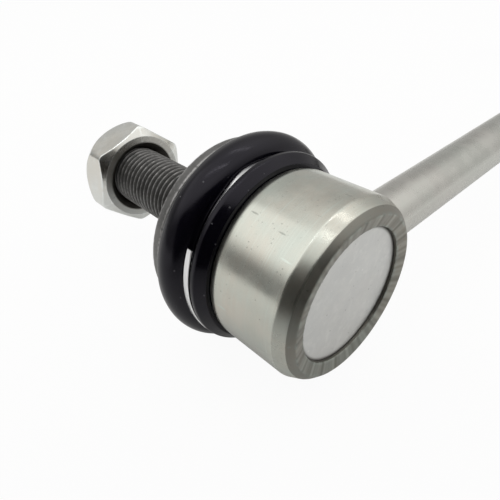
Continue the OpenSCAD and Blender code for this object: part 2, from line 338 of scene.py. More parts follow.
@dataclass(frozen=True)
class Grid:
    """A closed surface of rows and columns, whose columns always join round.

    Attributes:
        points: Row by column by coordinate, in joint millimetres.
        ends: How the rows end.
        wear: Share of bare edge at each point.
        soil_and_shade: Share of dirt and painted shade at each point.
    """

    points: Array
    ends: Ends
    wear: Array
    soil_and_shade: Array

    @classmethod
    def turned(
        cls,
        rows: Rows,
        ends: Ends,
        columns: int = 192,
        first_angle: float = 0.0,
        reach: float = 0.35,
        soil_and_shade: Array | None = None,
    ) -> "Grid":
        """Surface of revolution: the point of row i and column j is (r cos a, s, r sin a).

        Args:
            rows: Radius and station of each row, for one or all columns.
            ends: How the rows end.
            columns: Number of columns round the stud.
            first_angle: Angle of the first column in degrees, from +x towards +z.
            reach: Distance over which an edge's wear spreads.
            soil_and_shade: More dirt and painted shade for each point, if any.

        Returns:
            The grid.
        """
        a = np.radians(first_angle) + round_angles(columns)
        shape = (rows.r.shape[0], columns)
        r = np.broadcast_to(rows.r, shape)
        points = np.stack([r * np.cos(a), np.broadcast_to(rows.s, shape), r * np.sin(a)], axis=-1)
        wear, dirt_and_shade = rows.masks(ends is Ends.JOINED, reach)
        dirt_and_shade = np.broadcast_to(dirt_and_shade, shape)
        if soil_and_shade is not None:
            dirt_and_shade = np.clip(dirt_and_shade + soil_and_shade, 0, 1)
        return cls(points, ends, np.broadcast_to(wear, shape), dirt_and_shade)

    def faces(self) -> tuple[Array, Array, Array]:
        """Vertices, four-sided faces and triangles, facing outwards.

        Returns:
            Points with the fans' middles last, quads and triangles.
        """
        rows, columns = self.points.shape[:2]
        points = self.points.reshape(-1, 3)
        joined = self.ends is Ends.JOINED
        i = np.arange(rows if joined else rows - 1)[:, None]
        j = np.arange(columns)[None, :]
        after = (i + 1) % rows
        beside = (j + 1) % columns
        corners = [i * columns + j, i * columns + beside, after * columns + beside, after * columns + j]
        quads = np.stack(np.broadcast_arrays(*corners), axis=-1).reshape(-1, 4)
        triangles = np.zeros((0, 3), int)
        if not joined:
            column = np.arange(columns)
            neighbour = (column + 1) % columns
            start = len(points)
            last = (rows - 1) * columns
            points = np.concatenate([points, self.points[[0, -1]].mean(axis=1)])
            fans = [
                [neighbour, column, np.full(columns, start)],
                [last + column, last + neighbour, np.full(columns, start + 1)],
            ]
            triangles = np.concatenate([np.stack(fan, axis=-1) for fan in fans])
        every = np.concatenate([quads[:, [0, 1, 2]], quads[:, [0, 2, 3]], triangles])
        p0, p1, p2 = (points[every[:, k]] for k in range(3))
        if np.sum(p0 * np.cross(p1, p2)) < 0:
            quads, triangles = quads[:, ::-1], triangles[:, ::-1]
        return points, quads, triangles


class Nodes:
    """Short way to add nodes to one tree and join them."""

    def __init__(self, tree: bpy.types.NodeTree) -> None:
        """Empties the tree.

        Args:
            tree: The node tree to fill.
        """
        self.tree = tree
        tree.nodes.clear()

    def add(self, kind: str, inputs: dict | None = None, **settings: object) -> bpy.types.Node:
        """Adds a node.

        Args:
            kind: The node's type name.
            inputs: Value or socket for inputs, by name or number.
            settings: Properties of the node.

        Returns:
            The new node.
        """
        node = self.tree.nodes.new(kind)
        for key, value in settings.items():
            setattr(node, key, value)
        for key, value in (inputs or {}).items():
            if isinstance(value, bpy.types.NodeSocket):
                self.tree.links.new(value, node.inputs[key])
            else:
                node.inputs[key].default_value = value
        return node

    def math(self, operation: str, a: Socket | float, b: Socket | float = 0.0) -> Socket:
        """Result of a Math node, kept between 0 and 1."""
        node = self.add("ShaderNodeMath", {0: a, 1: b}, operation=operation, use_clamp=True)
        return node.outputs[0]

    def between(self, value: Socket, low: float, high: float, to: Pair = (0, 1)) -> Socket:
        """Value eased from low to high onto a new range.

        Args:
            value: The value to ease.
            low: Where the change starts.
            high: Where it ends.
            to: The new range.

        Returns:
            The eased value.
        """
        node = self.add(
            "ShaderNodeMapRange",
            {"Value": value, 1: low, 2: high, 3: to[0], 4: to[1]},
            interpolation_type="SMOOTHSTEP",
        )
        return node.outputs[0]

    def mix(self, share: Socket | float, a: Socket | Color, b: Socket | Color) -> Socket:
        """Colour that goes from a to b as share goes from 0 to 1."""
        sides = [v if isinstance(v, bpy.types.NodeSocket) else (*v, 1.0) for v in (a, b)]
        node = self.add("ShaderNodeMix", {0: share, 6: sides[0], 7: sides[1]}, data_type="RGBA")
        return node.outputs[2]

    def noise(self, vector: Socket, scale: float, detail: float = 3.0) -> Socket:
        """Noise from 0 to 1 at a scale given in ripples per metre."""
        inputs = {"Vector": vector, "Scale": scale, "Detail": detail}
        return self.add("ShaderNodeTexNoise", inputs).outputs["Fac"]

    def stretched(self, vector: Socket, scale: Triple) -> Socket:
        """Vector with each axis scaled, for grain that runs along the axis with the smallest scale."""
        return self.add("ShaderNodeMapping", {"Vector": vector, "Scale": scale}).outputs[0]

    def part(self, mask: Socket, share: float) -> Socket:
        """Mask weakened to a share."""
        return self.math("MULTIPLY", mask, share)

    def attribute(self, name: str) -> Socket:
        """A mesh's own mask by name."""
        return self.add("ShaderNodeAttribute", attribute_name=name).outputs["Fac"]

    def surface(self, shader: bpy.types.Node) -> None:
        """Joins a shader to the material's output."""
        self.add("ShaderNodeOutputMaterial", {"Surface": shader.outputs[0]})


class Effects:
    """Surface effects that several finishes share, each a node group built once.

    Attributes:
        slant: Turn of the scratches' cells about each axis, in radians.
        stretch: Scale of these cells along each axis.
    """

    slant: Triple = (0.6, 0.25, 0.9)
    stretch: Triple = (1.0, 0.2, 1.0)

    def __init__(self) -> None:
        """Builds the groups."""
        self.specks = self._cells("specks", edge=0.34, core=0.16)
        self.scratches = self._cells("scratches", edge=0.24, core=0.1, slanted=True)
        self.patches = self._patches()
        self.worn_edge = self._worn_edge()

    @staticmethod
    def _group(name: str, *numbers: str) -> tuple[Nodes, dict[str, Socket]]:
        """New group with a vector and numbers for inputs and a mask for output.

        Args:
            name: The group's name.
            numbers: Names of its inputs besides the vector.

        Returns:
            The group's node builder and its inputs by name.
        """
        tree = bpy.data.node_groups.new(name, "ShaderNodeTree")
        nodes = Nodes(tree)
        tree.interface.new_socket("Vector", in_out="INPUT", socket_type="NodeSocketVector")
        for key in numbers:
            tree.interface.new_socket(key, in_out="INPUT", socket_type="NodeSocketFloat")
        tree.interface.new_socket("Mask", in_out="OUTPUT", socket_type="NodeSocketFloat")
        return nodes, {socket.name: socket for socket in nodes.add("NodeGroupInput").outputs}

    @staticmethod
    def _close(nodes: Nodes, mask: Socket) -> bpy.types.NodeTree:
        """Joins the mask to the group's output and returns the group."""
        nodes.add("NodeGroupOutput", {"Mask": mask})
        return nodes.tree

    def _cells(self, name: str, edge: float, core: float, slanted: bool = False) -> bpy.types.NodeTree:
        """Small marks: the middles of some of the cells of a random cell pattern.

        Args:
            name: The group's name.
            edge: Distance from a cell's middle at which its mark starts.
            core: Distance at which the mark is full.
            slanted: Whether the cells are stretched along a slanted line.

        Returns:
            The group.
        """
        nodes, given = self._group(name, "Scale", "Share")
        place = given["Vector"]
        if slanted:
            turned = {"Vector": place, "Rotation": self.slant, "Scale": self.stretch}
            place = nodes.add("ShaderNodeMapping", turned).outputs[0]
        cells = nodes.add("ShaderNodeTexVoronoi", {"Vector": place, "Scale": given["Scale"]})
        mark = nodes.between(cells.outputs["Distance"], edge, core)
        pick = nodes.add("ShaderNodeSeparateColor", {0: cells.outputs["Color"]})
        chosen = nodes.math("LESS_THAN", pick.outputs[0], given["Share"])
        return self._close(nodes, nodes.math("MULTIPLY", mark, chosen))

    def _patches(self) -> bpy.types.NodeTree:
        """Cloudy patches, from noise at the given scale with its contrast raised."""
        nodes, given = self._group("patches", "Scale")
        inputs = {"Vector": given["Vector"], "Scale": given["Scale"], "Detail": 5.0, "Roughness": 0.6}
        noise = nodes.add("ShaderNodeTexNoise", inputs)
        return self._close(nodes, nodes.between(noise.outputs["Fac"], 0.3, 0.7))

    def _worn_edge(self) -> bpy.types.NodeTree:
        """Broken edge line: the piece's own edge mask, eaten into by noise."""
        nodes, given = self._group("worn_edge", "Scale", "Edge")
        noise = nodes.add("ShaderNodeTexNoise", {"Vector": given["Vector"], "Scale": given["Scale"]})
        bitten = nodes.math("MULTIPLY", given["Edge"], nodes.between(noise.outputs["Fac"], 0.25, 0.6))
        return self._close(nodes, nodes.between(bitten, 0.15, 0.75))


class Brush(Nodes):
    """Node builder of one finish, with the shared effects laid over the piece's own place."""

    def __init__(self, tree: bpy.types.NodeTree, effects: Effects) -> None:
        """Empties the tree and adds the Object coordinate.

        Args:
            tree: The material's node tree.
            effects: The shared effects.
        """
        super().__init__(tree)
        self.effects = effects
        self.place = self.add("ShaderNodeTexCoord").outputs["Object"]

    def _effect(self, group: bpy.types.NodeTree, **inputs: Socket | float) -> Socket:
        """Mask of a shared effect with its inputs by name."""
        node = self.add("ShaderNodeGroup", {"Vector": self.place, **inputs}, node_tree=group)
        return node.outputs["Mask"]

    def patches(self, scale: float) -> Socket:
        """Cloudy patches at a scale in ripples per metre."""
        return self._effect(self.effects.patches, Scale=scale)

    def specks(self, scale: float, share: float) -> Socket:
        """Round spots in a share of the cells, at a scale in cells per metre."""
        return self._effect(self.effects.specks, Scale=scale, Share=share)

    def scratches(self, scale: float, share: float) -> Socket:
        """Short marks in a share of the cells, at a scale in cells per metre."""
        return self._effect(self.effects.scratches, Scale=scale, Share=share)

    def worn_edge(self, scale: float) -> Socket:
        """The piece's worn edges, broken by noise at a scale in ripples per metre."""
        return self._effect(self.effects.worn_edge, Scale=scale, Edge=self.attribute("wear"))

    def coat(self, height: Socket, depth: float, **shader: object) -> None:
        """Puts the shader with its bump at the tree's end.

        Args:
            height: Height of the bump from 0 to 1.
            depth: What a height of 1 is worth, in millimetres.
            shader: Inputs of the shader, with _ for a space.
        """
        bump = self.add("ShaderNodeBump", {"Height": height, "Distance": depth * MM, "Strength": 1.0})
        inputs = {key.replace("_", " "): value for key, value in shader.items()}
        self.surface(self.add("ShaderNodeBsdfPrincipled", {**inputs, "Normal": bump.outputs[0]}))


@dataclass(frozen=True)
class Finish:
    """What every finish has.

    Attributes:
        name: The material's name, which is the record's slot.
        roughness: Its middle roughness.
    """

    name: str
    roughness: float

    def paint(self, brush: Brush) -> None:
        """Fills the material's tree, which each finish does in its own way."""
        raise NotImplementedError

    def build(self, effects: Effects) -> bpy.types.Material:
        """Makes the material.

        Args:
            effects: The shared effects.

        Returns:
            The material.
        """
        material = new_material(self.name)
        self.paint(Brush(material.node_tree, effects))
        return material


@dataclass(frozen=True)
class BareSteel(Finish):
    """Zinc-plated or bright steel, with grain, dark scuffs, specks and brighter worn edges.

    Attributes:
        tint: Colour of the clean metal.
        bloom: Second hue that drifts over the metal.
        grain: Ripples per metre along each axis; the smallest is the way the grain runs.
        depth: Depth of the grain in millimetres.
        scuffs: Share of the cells with a scuff.
        spots: Share of the speck cells that are dark.
        metallic: How much of a metal the coat is.
    """

    tint: Color
    bloom: Color
    grain: Triple
    depth: float = 0.002
    scuffs: float = 0.04
    spots: float = 0.04
    metallic: float = 1.0

    def paint(self, brush: Brush) -> None:
        """Lays drifting hues, clouds and grain, then bright nicks and edges, then dark marks, dirt and
        painted shade.

        Args:
            brush: The material's node builder.
        """
        light = shade(self.tint, share=1.1)
        dark = shade(self.tint, share=0.3)
        grain = brush.noise(brush.stretched(brush.place, self.grain), scale=1.0, detail=4.0)
        cloud = brush.patches(scale=210.0)
        scuffs = brush.scratches(scale=1300.0, share=self.scuffs)
        nicks = brush.scratches(scale=950.0, share=self.scuffs)
        spots = brush.specks(scale=2100.0, share=self.spots)
        spots = brush.math("MULTIPLY", spots, brush.between(cloud, 0.2, 0.7))
        marks = brush.math("MAXIMUM", brush.part(scuffs, share=0.4), brush.part(spots, share=0.3))
        worn = brush.worn_edge(scale=900.0)
        soil_and_shade = brush.attribute("soil_and_shade")
        color = brush.mix(brush.patches(scale=75.0), self.tint, self.bloom)
        color = brush.mix(brush.part(cloud, share=0.12), color, dark)
        color = brush.mix(brush.between(grain, 0.45, 1.0), color, light)
        color = brush.mix(brush.math("MAXIMUM", worn, nicks), color, light)
        color = brush.mix(marks, color, dark)
        # Dirt and painted shade from the mesh's mask
        color = brush.mix(soil_and_shade, color, SOIL_AND_SHADE)
        rough = brush.between(cloud, 0.0, 1.0, (self.roughness + 0.05, self.roughness - 0.04))
        rough = brush.math("ADD", rough, brush.part(brush.math("MAXIMUM", marks, soil_and_shade), share=0.33))
        height = brush.math("SUBTRACT", grain, brush.part(marks, share=0.5))
        brush.coat(height, self.depth, Base_Color=color, Metallic=self.metallic, Roughness=rough)


@dataclass(frozen=True)
class DarkSteel(Finish):
    """Phosphated steel: dark, fine-grained, with oil and painted shade in the roots and greyer crests.

    Attributes:
        tint: Colour of the dark coat.
        bare: Colour where it has rubbed off.
        depth: Depth of the fine grain in millimetres.
        metallic: How much of a metal the coat is.
    """

    tint: Color
    bare: Color
    depth: float = 0.006
    metallic: float = 0.75

    def paint(self, brush: Brush) -> None:
        """Lays clouds in the dark coat, then rubbed edges and specks, then oil and painted shade.

        Args:
            brush: The material's node builder.
        """
        fine = brush.noise(brush.place, scale=5200.0)
        spots = brush.specks(scale=2400.0, share=0.12)
        # Oil and painted shade in the thread's roots and inner corners
        oil_and_shade = brush.part(brush.attribute("soil_and_shade"), share=0.45)
        color = brush.mix(brush.patches(scale=420.0), shade(self.tint, share=0.72), self.tint)
        color = brush.mix(brush.worn_edge(scale=1400.0), color, self.bare)
        color = brush.mix(brush.part(spots, share=0.35), color, self.bare)
        color = brush.mix(oil_and_shade, color, shade(self.tint, share=0.2))
        rough = brush.between(fine, 0.2, 0.8, (self.roughness - 0.06, self.roughness + 0.08))
        brush.coat(fine, self.depth, Base_Color=color, Metallic=self.metallic, Roughness=rough)


@dataclass(frozen=True)
class Rubber(Finish):
    """Moulded rubber with a fine skin, faint wiped streaks and pale dust.

    Attributes:
        tint: Colour of the rubber.
        dust: Colour of the dust on it.
        depth: Depth of the skin's grain in millimetres.
        streaks: Ripples per metre of the wiped streaks along each axis.
        mirror: Strength of the rubber's mirror.
        mirror_tint: Colour of the rubber's mirror.
    """

    tint: Color
    dust: Color
    depth: float = 0.003
    streaks: Triple = (120.0, 900.0, 120.0)
    mirror: float = 0.32
    mirror_tint: Color = (0.9, 0.87, 1.0)

    def paint(self, brush: Brush) -> None:
        """Lays clouds and dust in the colour, and wiped streaks in the roughness.

        Args:
            brush: The material's node builder.
        """
        skin = brush.noise(brush.place, scale=4200.0, detail=2.0)
        wiped = brush.noise(brush.stretched(brush.place, self.streaks), scale=1.0)
        specks = brush.specks(scale=1800.0, share=0.02)
        color = brush.mix(brush.patches(scale=160.0), self.tint, shade(self.tint, share=1.5))
        color = brush.mix(brush.part(specks, share=0.7), color, self.dust)
        rough = brush.between(wiped, 0.3, 0.7, (self.roughness - 0.05, self.roughness + 0.06))
        mirror = {"Specular_IOR_Level": self.mirror, "Specular_Tint": (*self.mirror_tint, 1.0)}
        brush.coat(skin, self.depth, Base_Color=color, Roughness=rough, **mirror)


@dataclass(frozen=True)
class Polymer(Finish):
    """Moulded polymer with a faint cloud and a satin skin.

    Attributes:
        tint: Colour of the polymer.
        depth: Depth of the skin's grain in millimetres.
    """

    tint: Color
    depth: float = 0.004

    def paint(self, brush: Brush) -> None:
        """Lays clouds in the colour, and the skin's grain in the roughness.

        Args:
            brush: The material's node builder.
        """
        skin = brush.noise(brush.place, scale=3000.0, detail=2.0)
        color = brush.mix(brush.patches(scale=300.0), shade(self.tint, share=0.88), self.tint)
        rough = brush.between(skin, 0.3, 0.7, (self.roughness - 0.05, self.roughness + 0.05))
        brush.coat(skin, self.depth, Base_Color=color, Roughness=rough)


class Finishes:
    """All finishes of the link, by the record's material slot."""

    def __init__(self) -> None:
        """Builds the shared effects and then every material."""
        recipes = (
            BareSteel(
                "rod_zinc",
                0.27,
                tint=(0.575, 0.585, 0.545),
                bloom=(0.60, 0.585, 0.55),
                grain=(9.0, 1300.0, 1300.0),
                depth=0.0012,
                scuffs=0.05,
                spots=0.02,
            ),
            BareSteel(
                "housing_zinc",
                0.21,
                tint=(0.605, 0.655, 0.60),
                bloom=(0.70, 0.655, 0.575),
                grain=(110.0, 4600.0, 110.0),
                depth=0.0006,
                scuffs=0.09,
                spots=0.2,
            ),
            BareSteel(
                "cover_zinc",
                0.44,
                tint=(0.80, 0.80, 0.78),
                bloom=(0.78, 0.79, 0.78),
                grain=(900.0, 900.0, 900.0),
                depth=0.003,
                scuffs=0.05,
                spots=0.05,
                metallic=0.9,
            ),
            BareSteel(
                "clip_steel",
                0.16,
                tint=(0.90, 0.905, 0.91),
                bloom=(0.88, 0.89, 0.90),
                grain=(500.0, 3000.0, 500.0),
                depth=0.001,
                scuffs=0.02,
                spots=0.02,
            ),
            BareSteel(
                "ring_steel",
                0.4,
                tint=(0.42, 0.42, 0.41),
                bloom=(0.40, 0.40, 0.40),
                grain=(600.0, 2500.0, 600.0),
            ),
            BareSteel(
                "nut_zinc",
                0.2,
                tint=(0.78, 0.80, 0.78),
                bloom=(0.80, 0.775, 0.71),
                grain=(700.0, 700.0, 700.0),
            ),
            DarkSteel("stud_steel", 0.40, tint=(0.19, 0.188, 0.184), bare=(0.36, 0.355, 0.35)),
            Rubber("boot_rubber", 0.19, tint=(0.0013, 0.0011, 0.0028), dust=(0.12, 0.12, 0.13)),
            Polymer("seat_polymer", 0.45, tint=(0.72, 0.69, 0.60)),
            Polymer("insert_nylon", 0.42, tint=(0.62, 0.64, 0.62)),
        )
        effects = Effects()
        self.by_slot = {recipe.name: recipe.build(effects) for recipe in recipes}

    def dress_node(self, node: str, slot: str) -> None:
        """Gives a CAD node that stays in view its finish."""
        slots = frame["nodes"][node].data.materials
        slots.clear()
        slots.append(self.by_slot[slot])


@dataclass(frozen=True)
class Workshop:
    """Turns grids into finished pieces.

    Attributes:
        finishes: The link's finishes.
    """

    finishes: Finishes

    def make(
        self, axes: JointAxes | None, piece: str, grid: Grid, slot: str, node: str
    ) -> bpy.types.Object:
        """Makes a piece from a closed grid.

        Args:
            axes: The axes of the piece's joint, or None for a piece of the whole link.
            piece: The piece's name without its side.
            grid: Its surface, in joint millimetres, or in frame millimetres without axes.
            slot: The material slot that it takes its finish from.
            node: The CAD node that it stands for, without its side.

        Returns:
            The new object, which still has to ride on a body.
        """
        corners, quads, triangles = grid.faces()
        if axes is None:
            name, replaced, place = piece, node, corners * MM
        else:
            name, replaced, place = axes.name(piece), axes.name(node), axes.place(corners)
        mesh = bpy.data.meshes.new(name)
        mesh.from_pydata(place.tolist(), [], quads.tolist() + triangles.tolist())
        middles = np.zeros(len(corners) - grid.wear.size)
        for key, mask in (("wear", grid.wear), ("soil_and_shade", grid.soil_and_shade)):
            layer = mesh.attributes.new(key, "FLOAT", "POINT")
            layer.data.foreach_set("value", np.concatenate([mask.ravel(), middles]).astype(np.float32))
        mesh.shade_smooth()
        mesh.set_sharp_from_angle(angle=SHARP_ANGLE)
        mesh.materials.append(self.finishes.by_slot[slot])
        made = bpy.data.objects.new(name, mesh)
        bpy.context.scene.collection.objects.link(made)
        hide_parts(replaced)
        log.info("%s: %d faces for %s", name, len(quads) + len(triangles), replaced)
        return made


@dataclass(frozen=True)
class Ripple:
    """Uneven waves round the stud.

    Attributes:
        counts: Number of waves of each cosine.
        seed: Seed of the cosines' phases and shares.
    """

    counts: tuple[int, ...]
    seed: int

    def at(self, angles: Array) -> Array:
        """Sum of the cosines with seeded phases and shares, from -1 to 1.

        Args:
            angles: Angles in radians.

        Returns:
            The sum at each angle.
        """
        draw = np.random.default_rng(self.seed)
        phase = draw.uniform(0, 2 * np.pi, len(self.counts))
        share = draw.uniform(0.5, 1.0, len(self.counts))
        waves = share * np.cos(angles[:, None] * np.array(self.counts) + phase)
        return waves.sum(axis=1) / share.sum()


@dataclass(frozen=True)
class HousingCup:
    """The joint's housing: a cup with a rim rolled over the cover plate.

    Attributes:
        plate_front: Station of the cover plate's face.
        plate_back: Station of the cover plate's back.
        plate_gap: Gap between the lip and the cover plate's face.
        lip_r: Radius of the rolled lip's inner edge.
        lip_edge: Thickness of the lip at that edge.
        lip_lean: How far that edge leans outwards.
        rim_bevel: Distance from the lip's edge out to the rim's crest.
        rim_drop: Drop from the crest to the start of the chamfer.
        chamfer_w: Width across the chamfer.
        chamfer_h: Height of the chamfer along the stud.
        shoulder: Station of the shoulder under the boot.
        spigot_r: Radius of the boot's spigot.
        mouth_r: Radius of the mouth at the seat.
        mouth_end_r: Radius of the mouth at the spigot's end.
        seat_top: Station of the ledge that stops the upper seat.
        seat_r: Radius of the bore for the seats.
        plate_r: Radius of the pocket for the cover plate.
        crimp: Depth of the wrinkles that rolling leaves in the lip.
        crimp_rise: Share of that depth along the stud.
        wrinkles: Waves of the wrinkles.
        rim_sway: Share of the wrinkles' depth that the rim sways by.
        rim_waves: Waves of the rim's sway.
        edge_sway: Share of the sway at the chamfer's edge, outwards and along the stud.
        joint_shade: Painted shade on the lip's inner edge, in the recess by the cover plate.
        joint_reach: Reach of that painted shade outwards, and its distance from the lip's face.
        lip_darkening: Darkening of the lip: the rolled metal's darker tone together with painted dark
            reflection.
        lip_streaks: Waves of that darkness.
        streak_share: Share by which it changes.
        rim_darkening: Darkening of the rim's front: the rolled metal's darker tone together with painted
            dark reflection.
        shoulder_bevel: Width and height of the bevel at the shoulder.
        chamfer_shade: Painted shade and roughness on the chamfer, which dim its highlights.
        shoulder_shade: Painted shade and roughness on the shoulder's bevel beside the boot.
        shade_margin: Distance from the spigot at which that painted shade ends.
        columns: Number of columns round the stud.
    """

    plate_front: float = -8.6
    plate_back: float = -7.4
    plate_gap: float = 0.02
    lip_r: float = 11.0
    lip_edge: float = 0.55
    lip_lean: float = 0.05
    rim_bevel: float = 2.1
    rim_drop: float = 1.0
    chamfer_w: float = 0.8
    chamfer_h: float = 1.8
    shoulder: float = 5.8
    spigot_r: float = 13.0
    mouth_r: float = 8.2
    mouth_end_r: float = 9.6
    seat_top: float = 5.621
    seat_r: float = 10.5
    plate_r: float = 12.5
    crimp: float = 0.05
    crimp_rise: float = 0.6
    wrinkles: Ripple = Ripple((29, 43, 67, 95, 131), 5)
    rim_sway: float = 0.5
    rim_waves: Ripple = Ripple((3, 5, 8), 9)
    edge_sway: Pair = (0.6, 0.3)
    joint_shade: float = 0.9
    joint_reach: Pair = (0.16, 0.08)
    lip_darkening: float = 0.62
    lip_streaks: Ripple = Ripple((17, 37, 61, 83), 21)
    streak_share: float = 0.3
    rim_darkening: float = 0.68
    shoulder_bevel: Pair = (0.4, 1.15)
    chamfer_shade: float = 0.2
    shoulder_shade: float = 0.45
    shade_margin: float = 0.3
    columns: int = 288

    def build(self, shop: Workshop, axes: JointAxes) -> None:
        """Makes the housing: an outline turned about the stud, with a rippled lip.

        Args:
            shop: Makes the piece.
            axes: The joint's axes.
        """
        radius, rim, top = axes.span("housing")
        angles = round_angles(self.columns)
        wrinkle = self.crimp * self.wrinkles.at(angles)
        sway = self.rim_sway * self.crimp * self.rim_waves.at(angles)
        lip_s = self.plate_front - self.plate_gap
        edge_s = self.plate_front - self.lip_edge
        chamfer_top = rim + self.rim_drop
        edge_out, edge_along = (share * sway for share in self.edge_sway)
        bevel_w, bevel_h = self.shoulder_bevel
        rows = Rows.through(
            Corner(self.lip_r + wrinkle, lip_s, ease=0.12),
            Corner(self.lip_r + self.lip_lean + wrinkle, edge_s + self.crimp_rise * wrinkle, ease=0.2),
            Corner(self.lip_r + self.rim_bevel + sway, rim, ease=0.35),
            Corner(radius - self.chamfer_w + edge_out, chamfer_top + edge_along, ease=0.25),
            Corner(radius, chamfer_top + self.chamfer_h, ease=0.3),
            Corner(radius, self.shoulder - bevel_h, ease=0.5),
            Corner(radius - bevel_w, self.shoulder, ease=0.2),
            Corner(self.spigot_r, self.shoulder, ease=0.2),
            Corner(self.spigot_r, top, ease=0.4),
            Corner(self.mouth_end_r, top, ease=0.3),
            Corner(self.mouth_r, self.seat_top, ease=0.1),
            Corner(self.seat_r, self.seat_top, ease=0.1),
            Corner(self.seat_r, self.plate_back, ease=0.1),
            Corner(self.plate_r, self.plate_back, ease=0.1),
            Corner(self.plate_r, lip_s, ease=0.1),
            joined=True,
            step=0.45,
        )
        # The rim's front and the lip: darker metal tone with painted dark reflection
        rim_front = (rows.s < chamfer_top) & (rows.r < radius - self.chamfer_w)
        streaks = 1 + self.streak_share * self.lip_streaks.at(angles)
        # Painted shade on the lip's inner wall, in the recess by the cover plate
        inner = (rows.r < self.lip_r + self.joint_reach[0]) & (rows.s > edge_s + self.joint_reach[1])
        lip = (rows.r < self.lip_r + self.rim_bevel) & rim_front
        # Painted shade on the chamfer and on the shoulder's bevel beside the boot
        chamfer = rows.s < chamfer_top + self.chamfer_h
        bevel = (rows.s > self.shoulder - bevel_h) & (rows.r > self.spigot_r + self.shade_margin)
        shades = (
            (inner, self.joint_shade),
            (lip, self.lip_darkening * streaks),
            (rim_front, self.rim_darkening),
            (chamfer, self.chamfer_shade),
            (bevel, self.shoulder_shade),
        )
        dark = np.select(*zip(*shades), 0.0)
        grid = Grid.turned(rows, Ends.JOINED, self.columns, reach=0.22, soil_and_shade=dark)
        piece = shop.make(axes, "joint_housing", grid, "housing_zinc", "housing")
        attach(piece, "link")


@dataclass(frozen=True)
class CoverPlate:
    """The round plate that closes the housing.

    Attributes:
        edge: Rounding of its rim.
        dish: How far its face dips in the middle.
        joint_r: Radius where the housing's lip meets it.
        joint_shade: Painted shade along that joint.
        joint_w: Distance over which that painted shade spreads.
        middle_r: Radius of the innermost row.
    """

    edge: float = 0.3
    dish: float = 0.12
    joint_r: float = 11.0
    joint_shade: float = 0.85
    joint_w: float = 0.28
    middle_r: float = 0.15

    def build(self, shop: Workshop, axes: JointAxes) -> None:
        """Makes the plate: a shallow dish s = front + dish (1 - (r / radius)^2), turned.

        Args:
            shop: Makes the piece.
            axes: The joint's axes.
        """
        radius, front, back = axes.span("cover_plate")
        r = np.linspace(self.middle_r, radius - self.edge, ARC_ROWS)[:, None]
        face = Rows(r, front + self.dish * (1 - (r / radius) ** 2))
        rest = Rows.through(
            Corner(radius - self.edge + SLIVER, front),
            Corner(radius, front + self.edge, ease=0.1),
            Corner(radius, back, ease=0.1),
            Corner(self.middle_r, back),
        )
        rows = Rows.join(face, rest)
        # Painted shade in a ring where the housing's lip meets the plate
        dark = self.joint_shade * bell(rows.r - self.joint_r, self.joint_w)
        grid = Grid.turned(rows, Ends.CAPPED, columns=160, soil_and_shade=dark)
        piece = shop.make(axes, "cover_disc", grid, "cover_zinc", "cover_plate")
        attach(piece, "link")


